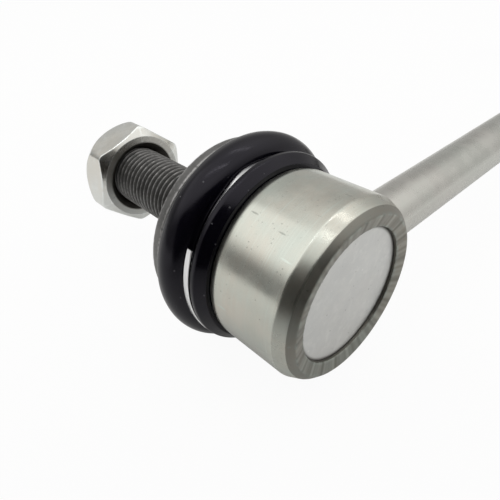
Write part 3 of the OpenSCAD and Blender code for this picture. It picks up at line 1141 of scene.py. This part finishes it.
@dataclass(frozen=True)
class Boot:
    """The rubber boot: a lower and an upper part that meet low on the bulge, and a collar.

    Attributes:
        spigot_fit: Radius of the base on its spigot.
        ring_end: Station of the base ring's end.
        ring_r: Radius of the base ring.
        ring_bevel: Width and height of the base ring's bevel on the housing's side.
        groove_r: Radius of the clip's groove.
        groove_end: Station of the groove's end.
        bulge_round: Radius of the bulge's round side.
        bulge_start: Angle on the round side where it leaves the groove, in degrees.
        seam: Angle on the bulge's round side where the two parts meet, in degrees.
        wall: Thickness of the skin.
        small_fit: Radius of the small end's bore.
        small_out: Radius of the small end's outside.
        small_low: Station of the small end's inner edge.
        overlap: How far the bulge's flat reaches into the small end.
        flat_start: Distance from the round side's end to the flat's first row.
        ridge: Height of the two soft rings on the bulge.
        ridge_angles: Angles of these rings on the round side, in degrees.
        ridge_w: Width of these rings in degrees.
        lower_soft: Distances above the groove and below the seam, from which the build works out two
            stations that it doesn't use.
        upper_soft: Distances above the seam and below the top, from which the build works out two
            stations that it doesn't use.
    """

    spigot_fit: float = 13.05
    ring_end: float = 7.95
    ring_r: float = 16.7
    ring_bevel: Pair = (1.3, 1.3)
    groove_r: float = 15.0
    groove_end: float = 9.27
    bulge_round: float = 3.15
    bulge_start: float = -84.0
    seam: float = -35.0
    wall: float = 1.0
    small_fit: float = 7.5
    small_out: float = 9.4
    small_low: float = 13.37
    overlap: float = 0.2
    flat_start: float = 0.2
    ridge: float = 0.05
    ridge_angles: Pair = (28.0, 62.0)
    ridge_w: float = 7.0
    lower_soft: Pair = (0.1, 0.02)
    upper_soft: Pair = (0.05, 1.3)

    def _bulge(self, mid: Pair, start: float, end: float) -> Rows:
        """Outer arc of the bulge with two soft rings, each a bell curve of the arc's angle.

        Args:
            mid: Radius and station of the bulge's centre.
            start: First angle in degrees.
            end: Last angle in degrees.

        Returns:
            Rows of one column.
        """
        t = np.linspace(start, end, ARC_ROWS)[:, None]
        swell = self.ridge * sum(bell(t - angle, self.ridge_w) for angle in self.ridge_angles)
        radius = self.bulge_round + swell
        a = np.radians(t)
        return Rows(mid[0] + radius * np.cos(a), mid[1] + radius * np.sin(a))

    def build(self, shop: Workshop, axes: JointAxes) -> None:
        """Makes the lower part, the upper part and the collar, which rides on the neck.

        Args:
            shop: Makes the pieces.
            axes: The joint's axes.
        """
        crest, low, top = axes.span("boot")
        mid = (crest - self.bulge_round, top - self.bulge_round)
        inner = self.bulge_round - self.wall
        floor = mid[1] - inner
        seam_s = mid[1] + self.bulge_round * math.sin(math.radians(self.seam))
        seam_in = math.degrees(math.asin((seam_s - mid[1]) / inner))
        base = Rows.through(
            Corner(self.spigot_fit, floor, ease=0.1),
            Corner(self.spigot_fit, low, ease=0.15),
            Corner(self.ring_r - self.ring_bevel[0], low, ease=0.06),
            Corner(self.ring_r, low + self.ring_bevel[1], ease=0.2),
            Corner(self.ring_r, self.ring_end, ease=0.2),
            Corner(self.groove_r, self.ring_end, ease=0.2),
            Corner(self.groove_r, self.groove_end, ease=0.1),
        )
        small_in = self.small_out - self.overlap
        flat = Rows.through(
            Corner(mid[0] - self.flat_start, top),
            Corner(small_in, top, ease=0.1),
            Corner(small_in, top - self.wall, ease=0.1),
            Corner(mid[0] - self.flat_start, top - self.wall),
        )
        collar = Rows.through(
            Corner(self.small_fit, self.small_low, ease=0.2),
            Corner(self.small_out, self.small_low, ease=0.3),
            Corner(self.small_out, top, ease=0.05),
            Corner(self.small_fit, top, ease=0.2),
            joined=True,
        )
        back = Rows.arc(mid, inner, seam_in, -90.0, ARC_ROWS // 2)
        down = Rows.arc(mid, inner, 90.0, seam_in, ARC_ROWS // 2)
        parts = {
            "boot_lower": Rows.join(base, self._bulge(mid, self.bulge_start, self.seam), back),
            "boot_upper": Rows.join(self._bulge(mid, self.seam, 90.0), flat, down),
            "boot_collar": collar,
        }
        made = {}
        for part, rows in parts.items():
            grid = Grid.turned(rows, Ends.JOINED, columns=224)
            made[part] = shop.make(axes, part, grid, "boot_rubber", "boot")
        link, cup, neck = "link", axes.name("boot_cup"), axes.name("neck")
        above, below = self.lower_soft
        soft = axes.on_stud(self.groove_end + above), axes.on_stud(seam_s - below)
        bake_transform(made["boot_lower"])
        above, below = self.upper_soft
        soft = axes.on_stud(seam_s + above), axes.on_stud(top - below)
        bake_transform(made["boot_upper"])
        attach(made["boot_collar"], neck)


@dataclass(frozen=True)
class BootClip:
    """The flat wire clip wound in the boot's groove.

    Attributes:
        inner_r: Radius of the wire's inside at its inner end.
        thick: Thickness of the wire outwards.
        width: Width of the wire along the stud.
        turns: Number of turns.
        rise: Rise outwards from the inner end to the free end.
        bend: Power of the rise, which keeps the inner turn close to the groove.
        travel: Travel along the stud in one turn.
        end_angle: Angle of the free end in degrees, from +x towards +z.
        low: Station of the free end's lower side.
        rounding: Rounding of the wire's edges.
        bow: How far the wire stands off the groove where it bows.
        bow_angle: Angle of the bow's middle after one turn, in degrees.
        bow_w: Reach of the bow in degrees.
        count: Number of sections along the wire.
    """

    inner_r: float = 15.1
    thick: float = 0.5
    width: float = 1.1
    turns: float = 1.2
    rise: float = 1.44
    bend: float = 1.7
    travel: float = 0.1
    end_angle: float = 154.0
    low: float = 8.12
    rounding: float = 0.16
    bow: float = 0.48
    bow_angle: float = 466.0
    bow_w: float = 11.0
    count: int = 320

    def build(self, shop: Workshop, axes: JointAxes) -> None:
        """Makes the clip: a rounded rectangle carried along a spiral.

        After t turns from the free end the section's corner is at radius
        inner_r + rise (1 - t / turns)^bend and station low - t travel. A bell curve of the
        angle adds the bow to the radius.

        Args:
            shop: Makes the piece.
            axes: The joint's axes.
        """
        places = (0.0, 0.0), (self.thick, 0.0), (self.thick, self.width), (0.0, self.width)
        corners = (Corner(r, s, self.rounding) for r, s in places)
        section = Rows.through(*corners, joined=True, step=0.3)
        t = np.linspace(0, self.turns, self.count)[:, None]
        angle = np.radians(self.end_angle) + 2 * np.pi * t
        bow = self.bow * bell(np.degrees(angle) - self.bow_angle, self.bow_w)
        lift = self.rise * (1 - t / self.turns) ** self.bend + bow
        r = self.inner_r + lift + section.r.T
        s = self.low - self.travel * t + section.s.T
        points = np.stack([r * np.cos(angle), s, r * np.sin(angle)], axis=-1)
        wear, _ = section.masks(joined=True, reach=0.1)
        shape = points.shape[:2]
        grid = Grid(points, Ends.CAPPED, np.broadcast_to(wear.T, shape), np.zeros(shape))
        piece = shop.make(axes, "wire_clip", grid, "clip_steel", "boot_clip")
        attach(piece, "link")


def thread_height(turns: Array) -> Array:
    """Height of a thread's ridge at a place counted in turns, 1 on the crest and 0 in the root.

    The ridge is the triangle |2f - 1| of the turn's fraction f, cut flat at an eighth of
    the pitch on the crest and a quarter in the root, and eased by 3h^2 - 2h^3.

    Args:
        turns: Places in turns.

    Returns:
        Heights from 0 to 1.
    """
    root, crest = 0.25, 0.875
    h = np.clip((np.abs(2 * (turns % 1.0) - 1) - root) / (crest - root), 0, 1)
    return h * h * (3 - 2 * h)


@dataclass(frozen=True)
class BallStud:
    """The stud: ball, neck, land, flange, plain shank and thread with a hexagon socket.

    Attributes:
        ball_r: Radius of the ball.
        ball_s: Station of the ball's centre.
        neck_r: Radius of the neck.
        land_r: Radius of the land that carries the boot's ring.
        land_start: Station where the land starts.
        flange_start: Station of the flange's boot side.
        flange_end: Station of the flange's nut side.
        flange_draft: Draft of the flange's rim.
        thread_r: Outer radius of the thread and of the plain shank.
        pitch: Pitch of the thread.
        depth: Depth of the thread.
        pilot_len: Length of the plain shank.
        relief: Clearance of the relief below the thread's root.
        socket_af: Size of the socket across its flats.
        socket_depth: Depth of the socket.
        socket_bevel: Width and height of the bevel at the socket's mouth.
        socket_cone: Height of the cone at the socket's bottom.
        socket_tip: Radius of that cone's tip.
        tip_land: How far the cone at the stud's end stays above the thread's root.
        pole_gap: Angle in degrees that the ball's rows leave open at the pole and the neck.
        crest_wear: Wear on the thread's crests.
        rows_per_turn: Number of rows in one turn of the thread.
        columns: Number of columns round the stud.
    """

    ball_r: float = 7.5
    ball_s: float = 1.0
    neck_r: float = 4.2
    land_r: float = 6.2
    land_start: float = 13.32
    flange_start: float = 15.92
    flange_end: float = 18.0
    flange_draft: float = 0.3
    thread_r: float = 6.0
    pitch: float = 1.25
    depth: float = 0.766
    pilot_len: float = 5.52
    relief: float = 0.15
    socket_af: float = 6.0
    socket_depth: float = 6.0
    socket_bevel: Pair = (0.25, 0.3)
    socket_cone: float = 0.6
    socket_tip: float = 0.1
    tip_land: float = 0.05
    pole_gap: float = 1.0
    crest_wear: float = 0.45
    rows_per_turn: int = 16
    columns: int = 144

    def build(self, shop: Workshop, axes: JointAxes) -> None:
        """Makes the stud: a turned outline, then a helical thread, then the socket.

        The thread's radius is thread_r less depth times one less the ridge's height, where
        a place's turns are s / pitch + angle / 360, cut by a cone at each end.

        Args:
            shop: Makes the piece.
            axes: The joint's axes.
        """
        flange_r, _, end = axes.span("ball_stud")
        angles = round_angles(self.columns)
        neck_start = self.ball_s + math.sqrt(self.ball_r**2 - self.neck_r**2)
        top = math.degrees(math.asin((neck_start - self.ball_s) / self.ball_r))
        ball_ends = -90.0 + self.pole_gap, top - self.pole_gap
        ball = Rows.arc((0.0, self.ball_s), self.ball_r, *ball_ends, ARC_ROWS)
        pilot_end = self.flange_end + self.pilot_len
        root_r = self.thread_r - self.depth
        relief_r = root_r - self.relief
        relief_end = pilot_end + self.depth + self.pitch
        body = Rows.through(
            Corner(self.neck_r, neck_start + ROW_GAP),
            Corner(self.neck_r, self.land_start - (self.land_r - self.neck_r), ease=0.6),
            Corner(self.land_r, self.land_start, ease=0.2),
            Corner(self.land_r, self.flange_start, ease=0.15),
            Corner(flange_r, self.flange_start, ease=0.4),
            Corner(flange_r - self.flange_draft, self.flange_end, ease=0.25),
            Corner(self.thread_r, self.flange_end, ease=0.4),
            Corner(self.thread_r, pilot_end, ease=0.15),
            Corner(relief_r, pilot_end + self.depth, ease=0.3),
            Corner(relief_r, relief_end - SLIVER),
        )
        s = np.arange(relief_end, end, self.pitch / self.rows_per_turn)[:, None]
        height = thread_height(s / self.pitch + angles / (2 * np.pi))
        ridge = self.thread_r - self.depth * (1 - height)
        lead_in = relief_r + (s - relief_end)
        chamfer = root_r + (end - s) + self.tip_land
        thread = Rows(np.minimum(np.minimum(ridge, lead_in), chamfer), np.broadcast_to(s, ridge.shape))
        flat = flat_radius(angles, self.socket_af)
        bottom = end - self.socket_depth
        socket = Rows.through(
            Corner(np.full(self.columns, root_r - SLIVER), end),
            Corner(flat + self.socket_bevel[0], end, ease=0.1),
            Corner(flat, end - self.socket_bevel[1], ease=0.05),
            Corner(flat, bottom + self.socket_cone, ease=0.05),
            Corner(np.full(self.columns, self.socket_tip), bottom),
        )
        rows = Rows.join(ball, body, thread, socket)
        grid = Grid.turned(rows, Ends.CAPPED, self.columns, reach=0.2)
        first = ball.r.shape[0] + body.r.shape[0]
        last = first + thread.r.shape[0]
        wear, soil_and_shade = grid.wear.copy(), grid.soil_and_shade.copy()
        wear[first:last] = self.crest_wear * height**2
        # Painted shade in the thread's roots: the deeper the root, the darker
        soil_and_shade[first:last] = (1 - height) ** 2
        grid = Grid(grid.points, grid.ends, wear, soil_and_shade)
        piece = shop.make(axes, "threaded_stud", grid, "stud_steel", "ball_stud")
        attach(piece, axes.name("stud"))


@dataclass(frozen=True)
class LockNut:
    """The hexagon nut with a chamfered bearing face and a domed end, and its insert.

    Attributes:
        across_flats: Size across the flats.
        face_r: Radius of the bearing face.
        chamfer_angle: Angle of the chamfer on the corners, in degrees.
        corner_h: Height of the corners before the dome cuts them.
        dome_r: Radius of the dome.
        bore_r: Radius of the bore.
        lead_in: Widening of the bore at the bearing face.
        pitch: Pitch of the thread.
        depth: Depth of the thread cut into the bore.
        turn: Turn of the corners in degrees, from +x towards +z.
        lip: Thickness of the rolled edge that keeps the insert in.
        room: Space round the insert in its groove.
        corner_round: Rounding of the hexagon's corners.
        crease_gap: Distance from the dome's edge to the flat's last row.
        dome_span: First and last share of the dome's rise that has rows.
        dome_rows: Number of rows on the dome.
        rim_bevel: Width and height of the bevel inside the rolled edge.
        groove_gap: Step from the bore into the insert's groove.
        thread_gap: Distance from the groove to the thread's first row.
        rows_per_turn: Number of rows in one turn of the thread.
        mouth_shade: Painted shade in the mouth of the bore.
        mouth_margin: How far outwards this painted shade reaches past the mouth.
        face_dark_reflection: Painted dark reflection on the bearing face.
        face_margin: How far this painted darkening reaches past the bearing face.
        corner_wear: Wear on the hexagon's corners.
        wear_spread: Spread of this wear, in radians to the fourth power.
        columns: Number of columns round the stud.
    """

    across_flats: float = 19.0
    face_r: float = 8.8
    chamfer_angle: float = 30.0
    corner_h: float = 4.2
    dome_r: float = 11.5
    bore_r: float = 6.05
    lead_in: float = 1.4
    pitch: float = 1.25
    depth: float = 0.6
    turn: float = 21.0
    lip: float = 0.7
    room: float = 0.05
    corner_round: float = 0.25
    crease_gap: float = 0.12
    dome_span: Pair = (0.02, 0.99)
    dome_rows: int = 40
    rim_bevel: Pair = (0.1, 0.2)
    groove_gap: float = 0.01
    thread_gap: float = 0.05
    rows_per_turn: int = 12
    mouth_shade: float = 0.9
    mouth_margin: float = 0.01
    face_dark_reflection: float = 0.3
    face_margin: float = 0.05
    corner_wear: float = 0.6
    wear_spread: float = 0.002
    columns: int = 240

    def _hexagon(self, angles: Array) -> Array:
        """Radius of the hexagon with rounded corners at angles from one corner.

        Near a corner the flat's radius and the corner's reduced radius are joined by the
        soft minimum -k log(exp(-a / k) + exp(-b / k)).

        Args:
            angles: Angles in radians.

        Returns:
            Radius at each angle.
        """
        flat = flat_radius(angles, self.across_flats)
        corner = self.across_flats / math.sqrt(3) - self.corner_round
        k = self.corner_round / 3
        return -k * np.log(np.exp(-(flat - corner) / k) + 1) + corner

    def build(self, shop: Workshop, axes: JointAxes) -> None:
        """Makes the nut and its insert: rows run over the outside and back through the bore.

        For each angle the chamfer's cone meets the flat at s = (r - face_r) tan(angle), and
        the dome's sphere meets it where r^2 + (s - mid)^2 is the dome's radius squared. The
        bore's ridges lie half a turn from the stud's.

        Args:
            shop: Makes the pieces.
            axes: The joint's axes.
        """
        _, start, end = axes.span("lock_nut")
        angles = round_angles(self.columns)
        hexagon = self._hexagon(angles)
        crease = start + (hexagon - self.face_r) * math.tan(math.radians(self.chamfer_angle))
        corner_r = self.across_flats / math.sqrt(3)
        mid = start + self.corner_h - math.sqrt(self.dome_r**2 - corner_r**2)
        rise = np.arccos(np.minimum(hexagon / self.dome_r, 1.0))
        top = math.asin((end - mid) / self.dome_r)
        meet = mid + self.dome_r * np.sin(rise)
        outside = Rows.through(
            Corner(np.full(self.columns, self.bore_r + self.lead_in), start),
            Corner(self.face_r, start, ease=0.12),
            Corner(hexagon, crease, ease=0.12),
            Corner(hexagon, meet - self.crease_gap),
            step=0.4,
        )
        t = np.linspace(*self.dome_span, self.dome_rows)[:, None]
        climb = rise + t * (top - rise)
        dome = Rows(self.dome_r * np.cos(climb), mid + self.dome_r * np.sin(climb))
        rim = Rows.through(
            Corner(self.dome_r * math.cos(top) - ROW_GAP, end),
            Corner(self.bore_r + self.rim_bevel[0], end, ease=0.1),
            Corner(self.bore_r, end - self.rim_bevel[1], ease=0.05),
            Corner(self.bore_r, end - self.lip),
        )
        outer, low, high = axes.span("nut_insert")
        groove = Rows.through(
            Corner(self.bore_r + self.groove_gap, end - self.lip),
            Corner(outer + self.room, end - self.lip, ease=0.05),
            Corner(outer + self.room, low - self.room, ease=0.05),
            Corner(self.bore_r + self.groove_gap, low - self.room),
        )
        mouth_s = start + self.lead_in
        step = -self.pitch / self.rows_per_turn
        s = np.arange(low - self.room - self.thread_gap, mouth_s, step)[:, None]
        height = thread_height(s / self.pitch + angles / (2 * np.pi) + 0.5)
        bore = Rows(self.bore_r + self.depth * height, np.broadcast_to(s, height.shape))
        mouth = Rows(np.array([[self.bore_r + SLIVER]]), np.array([[mouth_s]]))
        rows = Rows.join(outside, dome, rim, groove, bore, mouth)
        # Painted shade in the mouth of the bore
        near_bore = rows.r < self.bore_r + self.lead_in + self.mouth_margin
        in_mouth = near_bore & (rows.s < start + 2 * self.lead_in)
        # Painted dark reflection on the bearing face
        on_face = (rows.r < self.face_r + self.face_margin) & (rows.s < start + self.face_margin)
        dark = np.select([in_mouth, on_face], [self.mouth_shade, self.face_dark_reflection], 0.0)
        grid = Grid.turned(rows, Ends.JOINED, self.columns, self.turn, reach=0.25, soil_and_shade=dark)
        wear = grid.wear.copy()
        flats = outside.r.shape[0] + dome.r.shape[0]
        corners = np.exp(-((from_flat(angles) ** 2 - (np.pi / 6) ** 2) ** 2) / self.wear_spread)
        wear[:flats] = np.clip(wear[:flats] + self.corner_wear * corners, 0, 1)
        grid = Grid(grid.points, grid.ends, wear, grid.soil_and_shade)
        piece = shop.make(axes, "hexagon_nut", grid, "nut_zinc", "lock_nut")
        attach(piece, axes.name("nut"))
        ring = Rows.through(
            Corner(self.bore_r, low, ease=0.15),
            Corner(outer, low, ease=0.1),
            Corner(outer, high, ease=0.1),
            Corner(self.bore_r, high, ease=0.15),
            joined=True,
            step=0.3,
        )
        insert = Grid.turned(ring, Ends.JOINED, columns=120)
        piece = shop.make(axes, "nylon_insert", insert, "insert_nylon", "nut_insert")
        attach(piece, axes.name("insert"))


@dataclass(frozen=True)
class BallJointEnd:
    """One end of the link, with all its pieces.

    Attributes:
        housing: The housing.
        plate: The cover plate.
        boot: The boot.
        clip: The boot's clip.
        stud: The stud.
        nut: The nut and its insert.
    """

    housing: HousingCup = HousingCup()
    plate: CoverPlate = CoverPlate()
    boot: Boot = Boot()
    clip: BootClip = BootClip()
    stud: BallStud = BallStud()
    nut: LockNut = LockNut()

    def build(self, shop: Workshop, side: Side) -> None:
        """Makes this end's pieces and dresses the CAD nodes that stay.

        Args:
            shop: Makes the pieces.
            side: Which end of the link.
        """
        axes = JointAxes.of(side)
        for part in (self.housing, self.plate, self.boot, self.clip, self.stud, self.nut):
            part.build(shop, axes)
        for node, slot in (
            ("upper_seat", "seat_polymer"),
            ("lower_seat", "seat_polymer"),
            ("neck_ring", "ring_steel"),
        ):
            shop.finishes.dress_node(axes.name(node), slot)


@dataclass(frozen=True)
class LinkRod:
    """The rod between the two housings, with its ends shaped to them.

    Attributes:
        radius: Radius of the rod.
        housing_r: Radius of the housings that its ends fit.
        gap: Gap between the rod's ends and the housings.
        rows: Number of rows along the rod.
        cap_rows: Number of rows over each end.
        cap_start: Share of the radius at which an end's rows start.
        columns: Number of columns round the rod.
    """

    radius: float = 5.0
    housing_r: float = 15.0
    gap: float = 0.01
    rows: int = 90
    cap_rows: int = 8
    cap_start: float = 0.05
    columns: int = 96

    def build(self, shop: Workshop) -> None:
        """Makes the rod: circles about x whose ends follow x = centre +- sqrt(R^2 - z^2).

        Args:
            shop: Makes the piece.
        """
        left, right = (JointAxes.of(side).origin / MM for side in Side)
        angle = round_angles(self.columns)
        grow = np.linspace(self.cap_start, 1.0, self.cap_rows)
        along = np.linspace(0, 1, self.rows + 2)[1:-1]
        size = np.concatenate([grow, np.ones(self.rows), grow[::-1]])[:, None] * self.radius
        share = np.concatenate([0 * grow, along, 0 * grow + 1])[:, None]
        y, z = size * np.cos(angle), size * np.sin(angle)
        reach = np.sqrt(self.housing_r**2 - z**2) + self.gap
        x = (left[0] + reach) * (1 - share) + (right[0] - reach) * share
        points = np.stack([x, left[1] + y, left[2] + z], axis=-1)
        blank = np.zeros(points.shape[:2])
        grid = Grid(points, Ends.CAPPED, blank, blank)
        piece = shop.make(None, "round_rod", grid, "rod_zinc", "link_rod")
        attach(piece, "link")


@dataclass(frozen=True)
class Studio:
    """Floor, tent of light, dark card, lamps and camera.

    Attributes:
        floor_size: Width of the floor in metres.
        floor_tint: Colour of the floor where light falls on it.
        floor_seen: Share of its own white that the camera sees.
        floor_mirrored: Share of its own white that mirrors see.
        tent_r: Radius of the tent in metres.
        tent_grid: Columns and rows of the tent.
        tent_tint: Colour of the tent's light.
        tent_top: Brightness of the tent's top.
        tent_sides: How the tent's side looks in some directions, each as its angle from +x
            towards +y, its brightness near the floor and the heights in degrees between
            which it rises to the top's.
        lamp_way: Direction of the soft lamp in degrees, from +x towards +y and upwards.
        lamp_away: Its distance from the left joint in metres.
        lamp_size: Its width and height in metres.
        lamp_power: Its power in watts.
        strips: Both ends of each strip lamp, as x and y in metres from the left joint.
        strip_h: Height of the strip lamps above the floor in metres.
        strip_w: Their width in metres.
        strip_power: Their power in watts.
        card: Left, right, upper and lower reach of the dark card round the lens, in millimetres.
        card_tint: Colour of this card.
        camera_at: The camera's place from the left joint, in millimetres.
        looks: Direction of the camera's view.
        right: Direction of the picture's right side.
        lens: Focal length in millimetres.
        sensor: Width of the camera's sensor in millimetres.
        near: Distance in metres from which the camera sees.
    """

    floor_size: float = 6.0
    floor_tint: Color = (0.74, 0.74, 0.735)
    floor_seen: float = 0.95
    floor_mirrored: float = 0.18
    tent_r: float = 1.2
    tent_grid: tuple[int, int] = (181, 61)
    tent_tint: Color = (1.0, 0.99, 0.97)
    tent_top: float = 1.2
    tent_sides: tuple[tuple[float, float, float, float], ...] = (
        (-175.0, 0.30, 25.0, 58.0),
        (-120.0, 0.40, 25.0, 58.0),
        (-70.0, 0.60, 15.0, 50.0),
        (-40.0, 0.70, 5.0, 40.0),
        (20.0, 0.48, 25.0, 74.0),
        (60.0, 0.55, 40.0, 80.0),
        (92.0, 0.57, 42.0, 78.0),
        (100.0, 0.36, 25.0, 50.0),
        (135.0, 0.30, 14.0, 35.0),
        (150.0, 0.26, 14.0, 38.0),
    )
    lamp_way: Pair = (115.0, 62.0)
    lamp_away: float = 0.7
    lamp_size: Pair = (0.4, 0.3)
    lamp_power: float = 0.4
    strips: tuple[tuple[float, float, float, float], ...] = (
        (0.515, -0.328, 0.18, 0.148),
        (0.091, -0.421, -0.222, 0.104),
    )
    strip_h: float = 0.8
    strip_w: float = 0.022
    strip_power: float = 0.26
    card: tuple[float, float, float, float] = (70.0, 105.0, 12.0, 77.0)
    card_tint: Color = (0.03, 0.028, 0.025)
    camera_at: Triple = (-43.655, -34.701, 44.590)
    looks: Triple = (0.54591, 0.59323, -0.59166)
    right: Triple = (0.72249, -0.69089, -0.02610)
    lens: float = 32.4
    sensor: float = 36.0
    near: float = 0.001

    @property
    def joint(self) -> JointAxes:
        """Axes of the left joint, which the studio is set up round."""
        return JointAxes.of(Side.LEFT)

    def build(self) -> None:
        """Makes everything that isn't part of the link."""
        self._floor()
        self._tent()
        self._card()
        self._world()
        self._softbox()
        for ends in self.strips:
            self._strip(ends)
        self._camera()

    @staticmethod
    def _way(around: Array | float, up: Array | float) -> Array:
        """Unit vectors (cos a cos e, sin a cos e, sin e) of directions given in degrees."""
        a, e = np.radians(around), np.radians(up)
        return np.stack([np.cos(a) * np.cos(e), np.sin(a) * np.cos(e), np.sin(e)], axis=-1)

    @staticmethod
    def _sheet(
        name: str, points: Array, columns: int, material: bpy.types.Material
    ) -> bpy.types.Object:
        """Open grid surface as an object.

        Args:
            name: The object's name.
            points: Points of whole rows, in metres.
            columns: Number of points in a row.
            material: The surface's material.

        Returns:
            The object.
        """
        rows = len(points) // columns
        i = np.arange(rows - 1)[:, None] * columns
        j = np.arange(columns - 1)[None, :]
        quads = np.stack([i + j, i + j + 1, i + columns + j + 1, i + columns + j], axis=-1).reshape(-1, 4)
        mesh = bpy.data.meshes.new(name)
        mesh.from_pydata(points.tolist(), [], quads.tolist())
        mesh.materials.append(material)
        sheet = bpy.data.objects.new(name, mesh)
        bpy.context.scene.collection.objects.link(sheet)
        return sheet

    def _floor(self) -> bpy.types.Object:
        """Pale floor: mostly its own white to the camera, and partly to mirrors, so shadows stay."""
        material = new_material("floor_white")
        nodes = Nodes(material.node_tree)
        path = nodes.add("ShaderNodeLightPath").outputs
        mirrored = nodes.math("ADD", path["Is Glossy Ray"], path["Is Transmission Ray"])
        seen = nodes.part(path["Is Camera Ray"], self.floor_seen)
        share = nodes.math("ADD", seen, nodes.part(mirrored, self.floor_mirrored))
        lit = nodes.add("ShaderNodeBsdfDiffuse", {"Color": (*self.floor_tint, 1.0)})
        own = nodes.add("ShaderNodeEmission", {"Color": (*WHITE, 1.0), "Strength": 1.0})
        nodes.surface(nodes.add("ShaderNodeMixShader", {0: share, 1: lit.outputs[0], 2: own.outputs[0]}))
        half = self.floor_size / 2
        x, y = np.meshgrid([-half, half], [-half, half])
        points = np.stack([x.ravel(), y.ravel(), np.zeros(x.size)], axis=-1)
        return self._sheet("studio_floor", points, 2, material)

    def _glow(self, around: Array, up: Array) -> Array:
        """Brightness of the tent: low + (top - low) e, where e eases from 0 to 1 between two heights.

        The low brightness and both heights are read off tent_sides, joined by straight lines
        round the full circle.

        Args:
            around: Directions in degrees from +x towards +y.
            up: Heights in degrees above the floor.

        Returns:
            Brightness in each direction.
        """
        sides = np.array(self.tent_sides)
        low, start, end = (np.interp(around, sides[:, 0], sides[:, k], period=360.0) for k in (1, 2, 3))
        share = np.clip((up - start) / (end - start), 0, 1)
        return low + (self.tent_top - low) * share * share * (3 - 2 * share)

    def _tent(self) -> bpy.types.Object:
        """Half a sphere of glowing cards round the left joint, which only light and mirrors see."""
        material = new_material("tent_card")
        nodes = Nodes(material.node_tree)
        light = {"Color": (*self.tent_tint, 1.0), "Strength": nodes.attribute("glow")}
        nodes.surface(nodes.add("ShaderNodeEmission", light))
        columns, rows = self.tent_grid
        around = np.broadcast_to(np.linspace(-180, 180, columns), (rows, columns))
        up = np.broadcast_to(np.linspace(0, 90, rows)[:, None], (rows, columns))
        points = self.joint.origin * np.array([1.0, 1.0, 0.0]) + self.tent_r * self._way(around, up)
        tent = self._sheet("studio_tent", points.reshape(-1, 3), columns, material)
        layer = tent.data.attributes.new("glow", "FLOAT", "POINT")
        layer.data.foreach_set("value", self._glow(around, up).ravel().astype(np.float32))
        tent.visible_camera = False
        tent.visible_shadow = False
        return tent

    def _card(self) -> bpy.types.Object:
        """Dark card in the plane of the lens, as the camera's own body is, seen in mirrors only."""
        material = new_material("card_black")
        nodes = Nodes(material.node_tree)
        nodes.surface(nodes.add("ShaderNodeBsdfDiffuse", {"Color": (*self.card_tint, 1.0)}))
        left, right, upper, lower = self.card
        across = np.array(self.right)
        down = np.cross(np.array(self.looks), across)
        x, y = np.meshgrid([-left, right], [-upper, lower])
        points = np.array(self.camera_at) + x.reshape(-1, 1) * across + y.reshape(-1, 1) * down
        card = self._sheet("studio_dark_card", self.joint.place(points), 2, material)
        card.visible_camera = False
        return card

    @staticmethod
    def _area(name: str, size: Pair, power: float) -> bpy.types.Object:
        """Rectangular lamp.

        Args:
            name: The lamp's name.
            size: Its width and height in metres.
            power: Its power in watts.

        Returns:
            The lamp, which still has to be put in its place.
        """
        data = bpy.data.lights.new(name, "AREA")
        data.shape = "RECTANGLE"
        data.size, data.size_y = size
        data.energy = power
        lamp = bpy.data.objects.new(name, data)
        bpy.context.scene.collection.objects.link(lamp)
        return lamp

    def _strip(self, ends: tuple[float, float, float, float]) -> None:
        """Slim lamp that shines straight down.

        Args:
            ends: Its two ends, as x and y in metres from the left joint.
        """
        start, end = np.array(ends[:2]), np.array(ends[2:])
        along = end - start
        lamp = self._area("strip_lamp", (float(np.linalg.norm(along)), self.strip_w), self.strip_power)
        middle = (*(self.joint.origin[:2] + (start + end) / 2), self.strip_h)
        turn = Matrix.Rotation(math.atan2(along[1], along[0]), 4, "Z")
        lamp.matrix_world = Matrix.Translation(middle) @ turn

    def _softbox(self) -> None:
        """Soft lamp that shines at the left joint and that mirrors don't show."""
        lamp = self._area("top_softbox", self.lamp_size, self.lamp_power)
        lamp.visible_glossy = False
        way = Vector(self._way(*self.lamp_way))
        turn = way.to_track_quat("Z", "Y").to_matrix().to_4x4()
        lamp.matrix_world = Matrix.Translation(Vector(self.joint.origin) + self.lamp_away * way) @ turn

    @staticmethod
    def _world() -> None:
        """Plain white surroundings."""
        world = bpy.data.worlds.new("studio_world")
        world.use_nodes = True
        nodes = Nodes(world.node_tree)
        white = nodes.add("ShaderNodeBackground", {"Color": (*WHITE, 1.0), "Strength": 1.0})
        nodes.add("ShaderNodeOutputWorld", {"Surface": white.outputs[0]})
        bpy.context.scene.world = world

    def _camera(self) -> None:
        """Camera at the photograph's place: its axes are right, up and backwards."""
        data = bpy.data.cameras.new("photo_camera")
        data.sensor_width = self.sensor
        data.lens = self.lens
        data.clip_start = self.near
        camera = bpy.data.objects.new("photo_camera", data)
        bpy.context.scene.collection.objects.link(camera)
        back = -Vector(self.looks).normalized()
        side = Vector(self.right)
        side = (side - side.dot(back) * back).normalized()
        up = back.cross(side)
        place = Vector(self.joint.place(np.array(self.camera_at)))
        turn = Matrix((side, up, back)).transposed().to_4x4()
        camera.matrix_world = Matrix.Translation(place) @ turn
        bpy.context.scene.camera = camera


def main() -> None:
    """Builds the link and its studio, piece by piece."""
    logging.basicConfig(level=logging.INFO, format="%(name)s: %(message)s")
    scene = bpy.context.scene
    scene.view_settings.view_transform = "Standard"
    shop = Workshop(Finishes())
    LinkRod().build(shop)
    for side in Side:
        BallJointEnd().build(shop, side)
    Studio().build()
    bpy.context.view_layer.update()


if __name__ == "__main__":
    main()
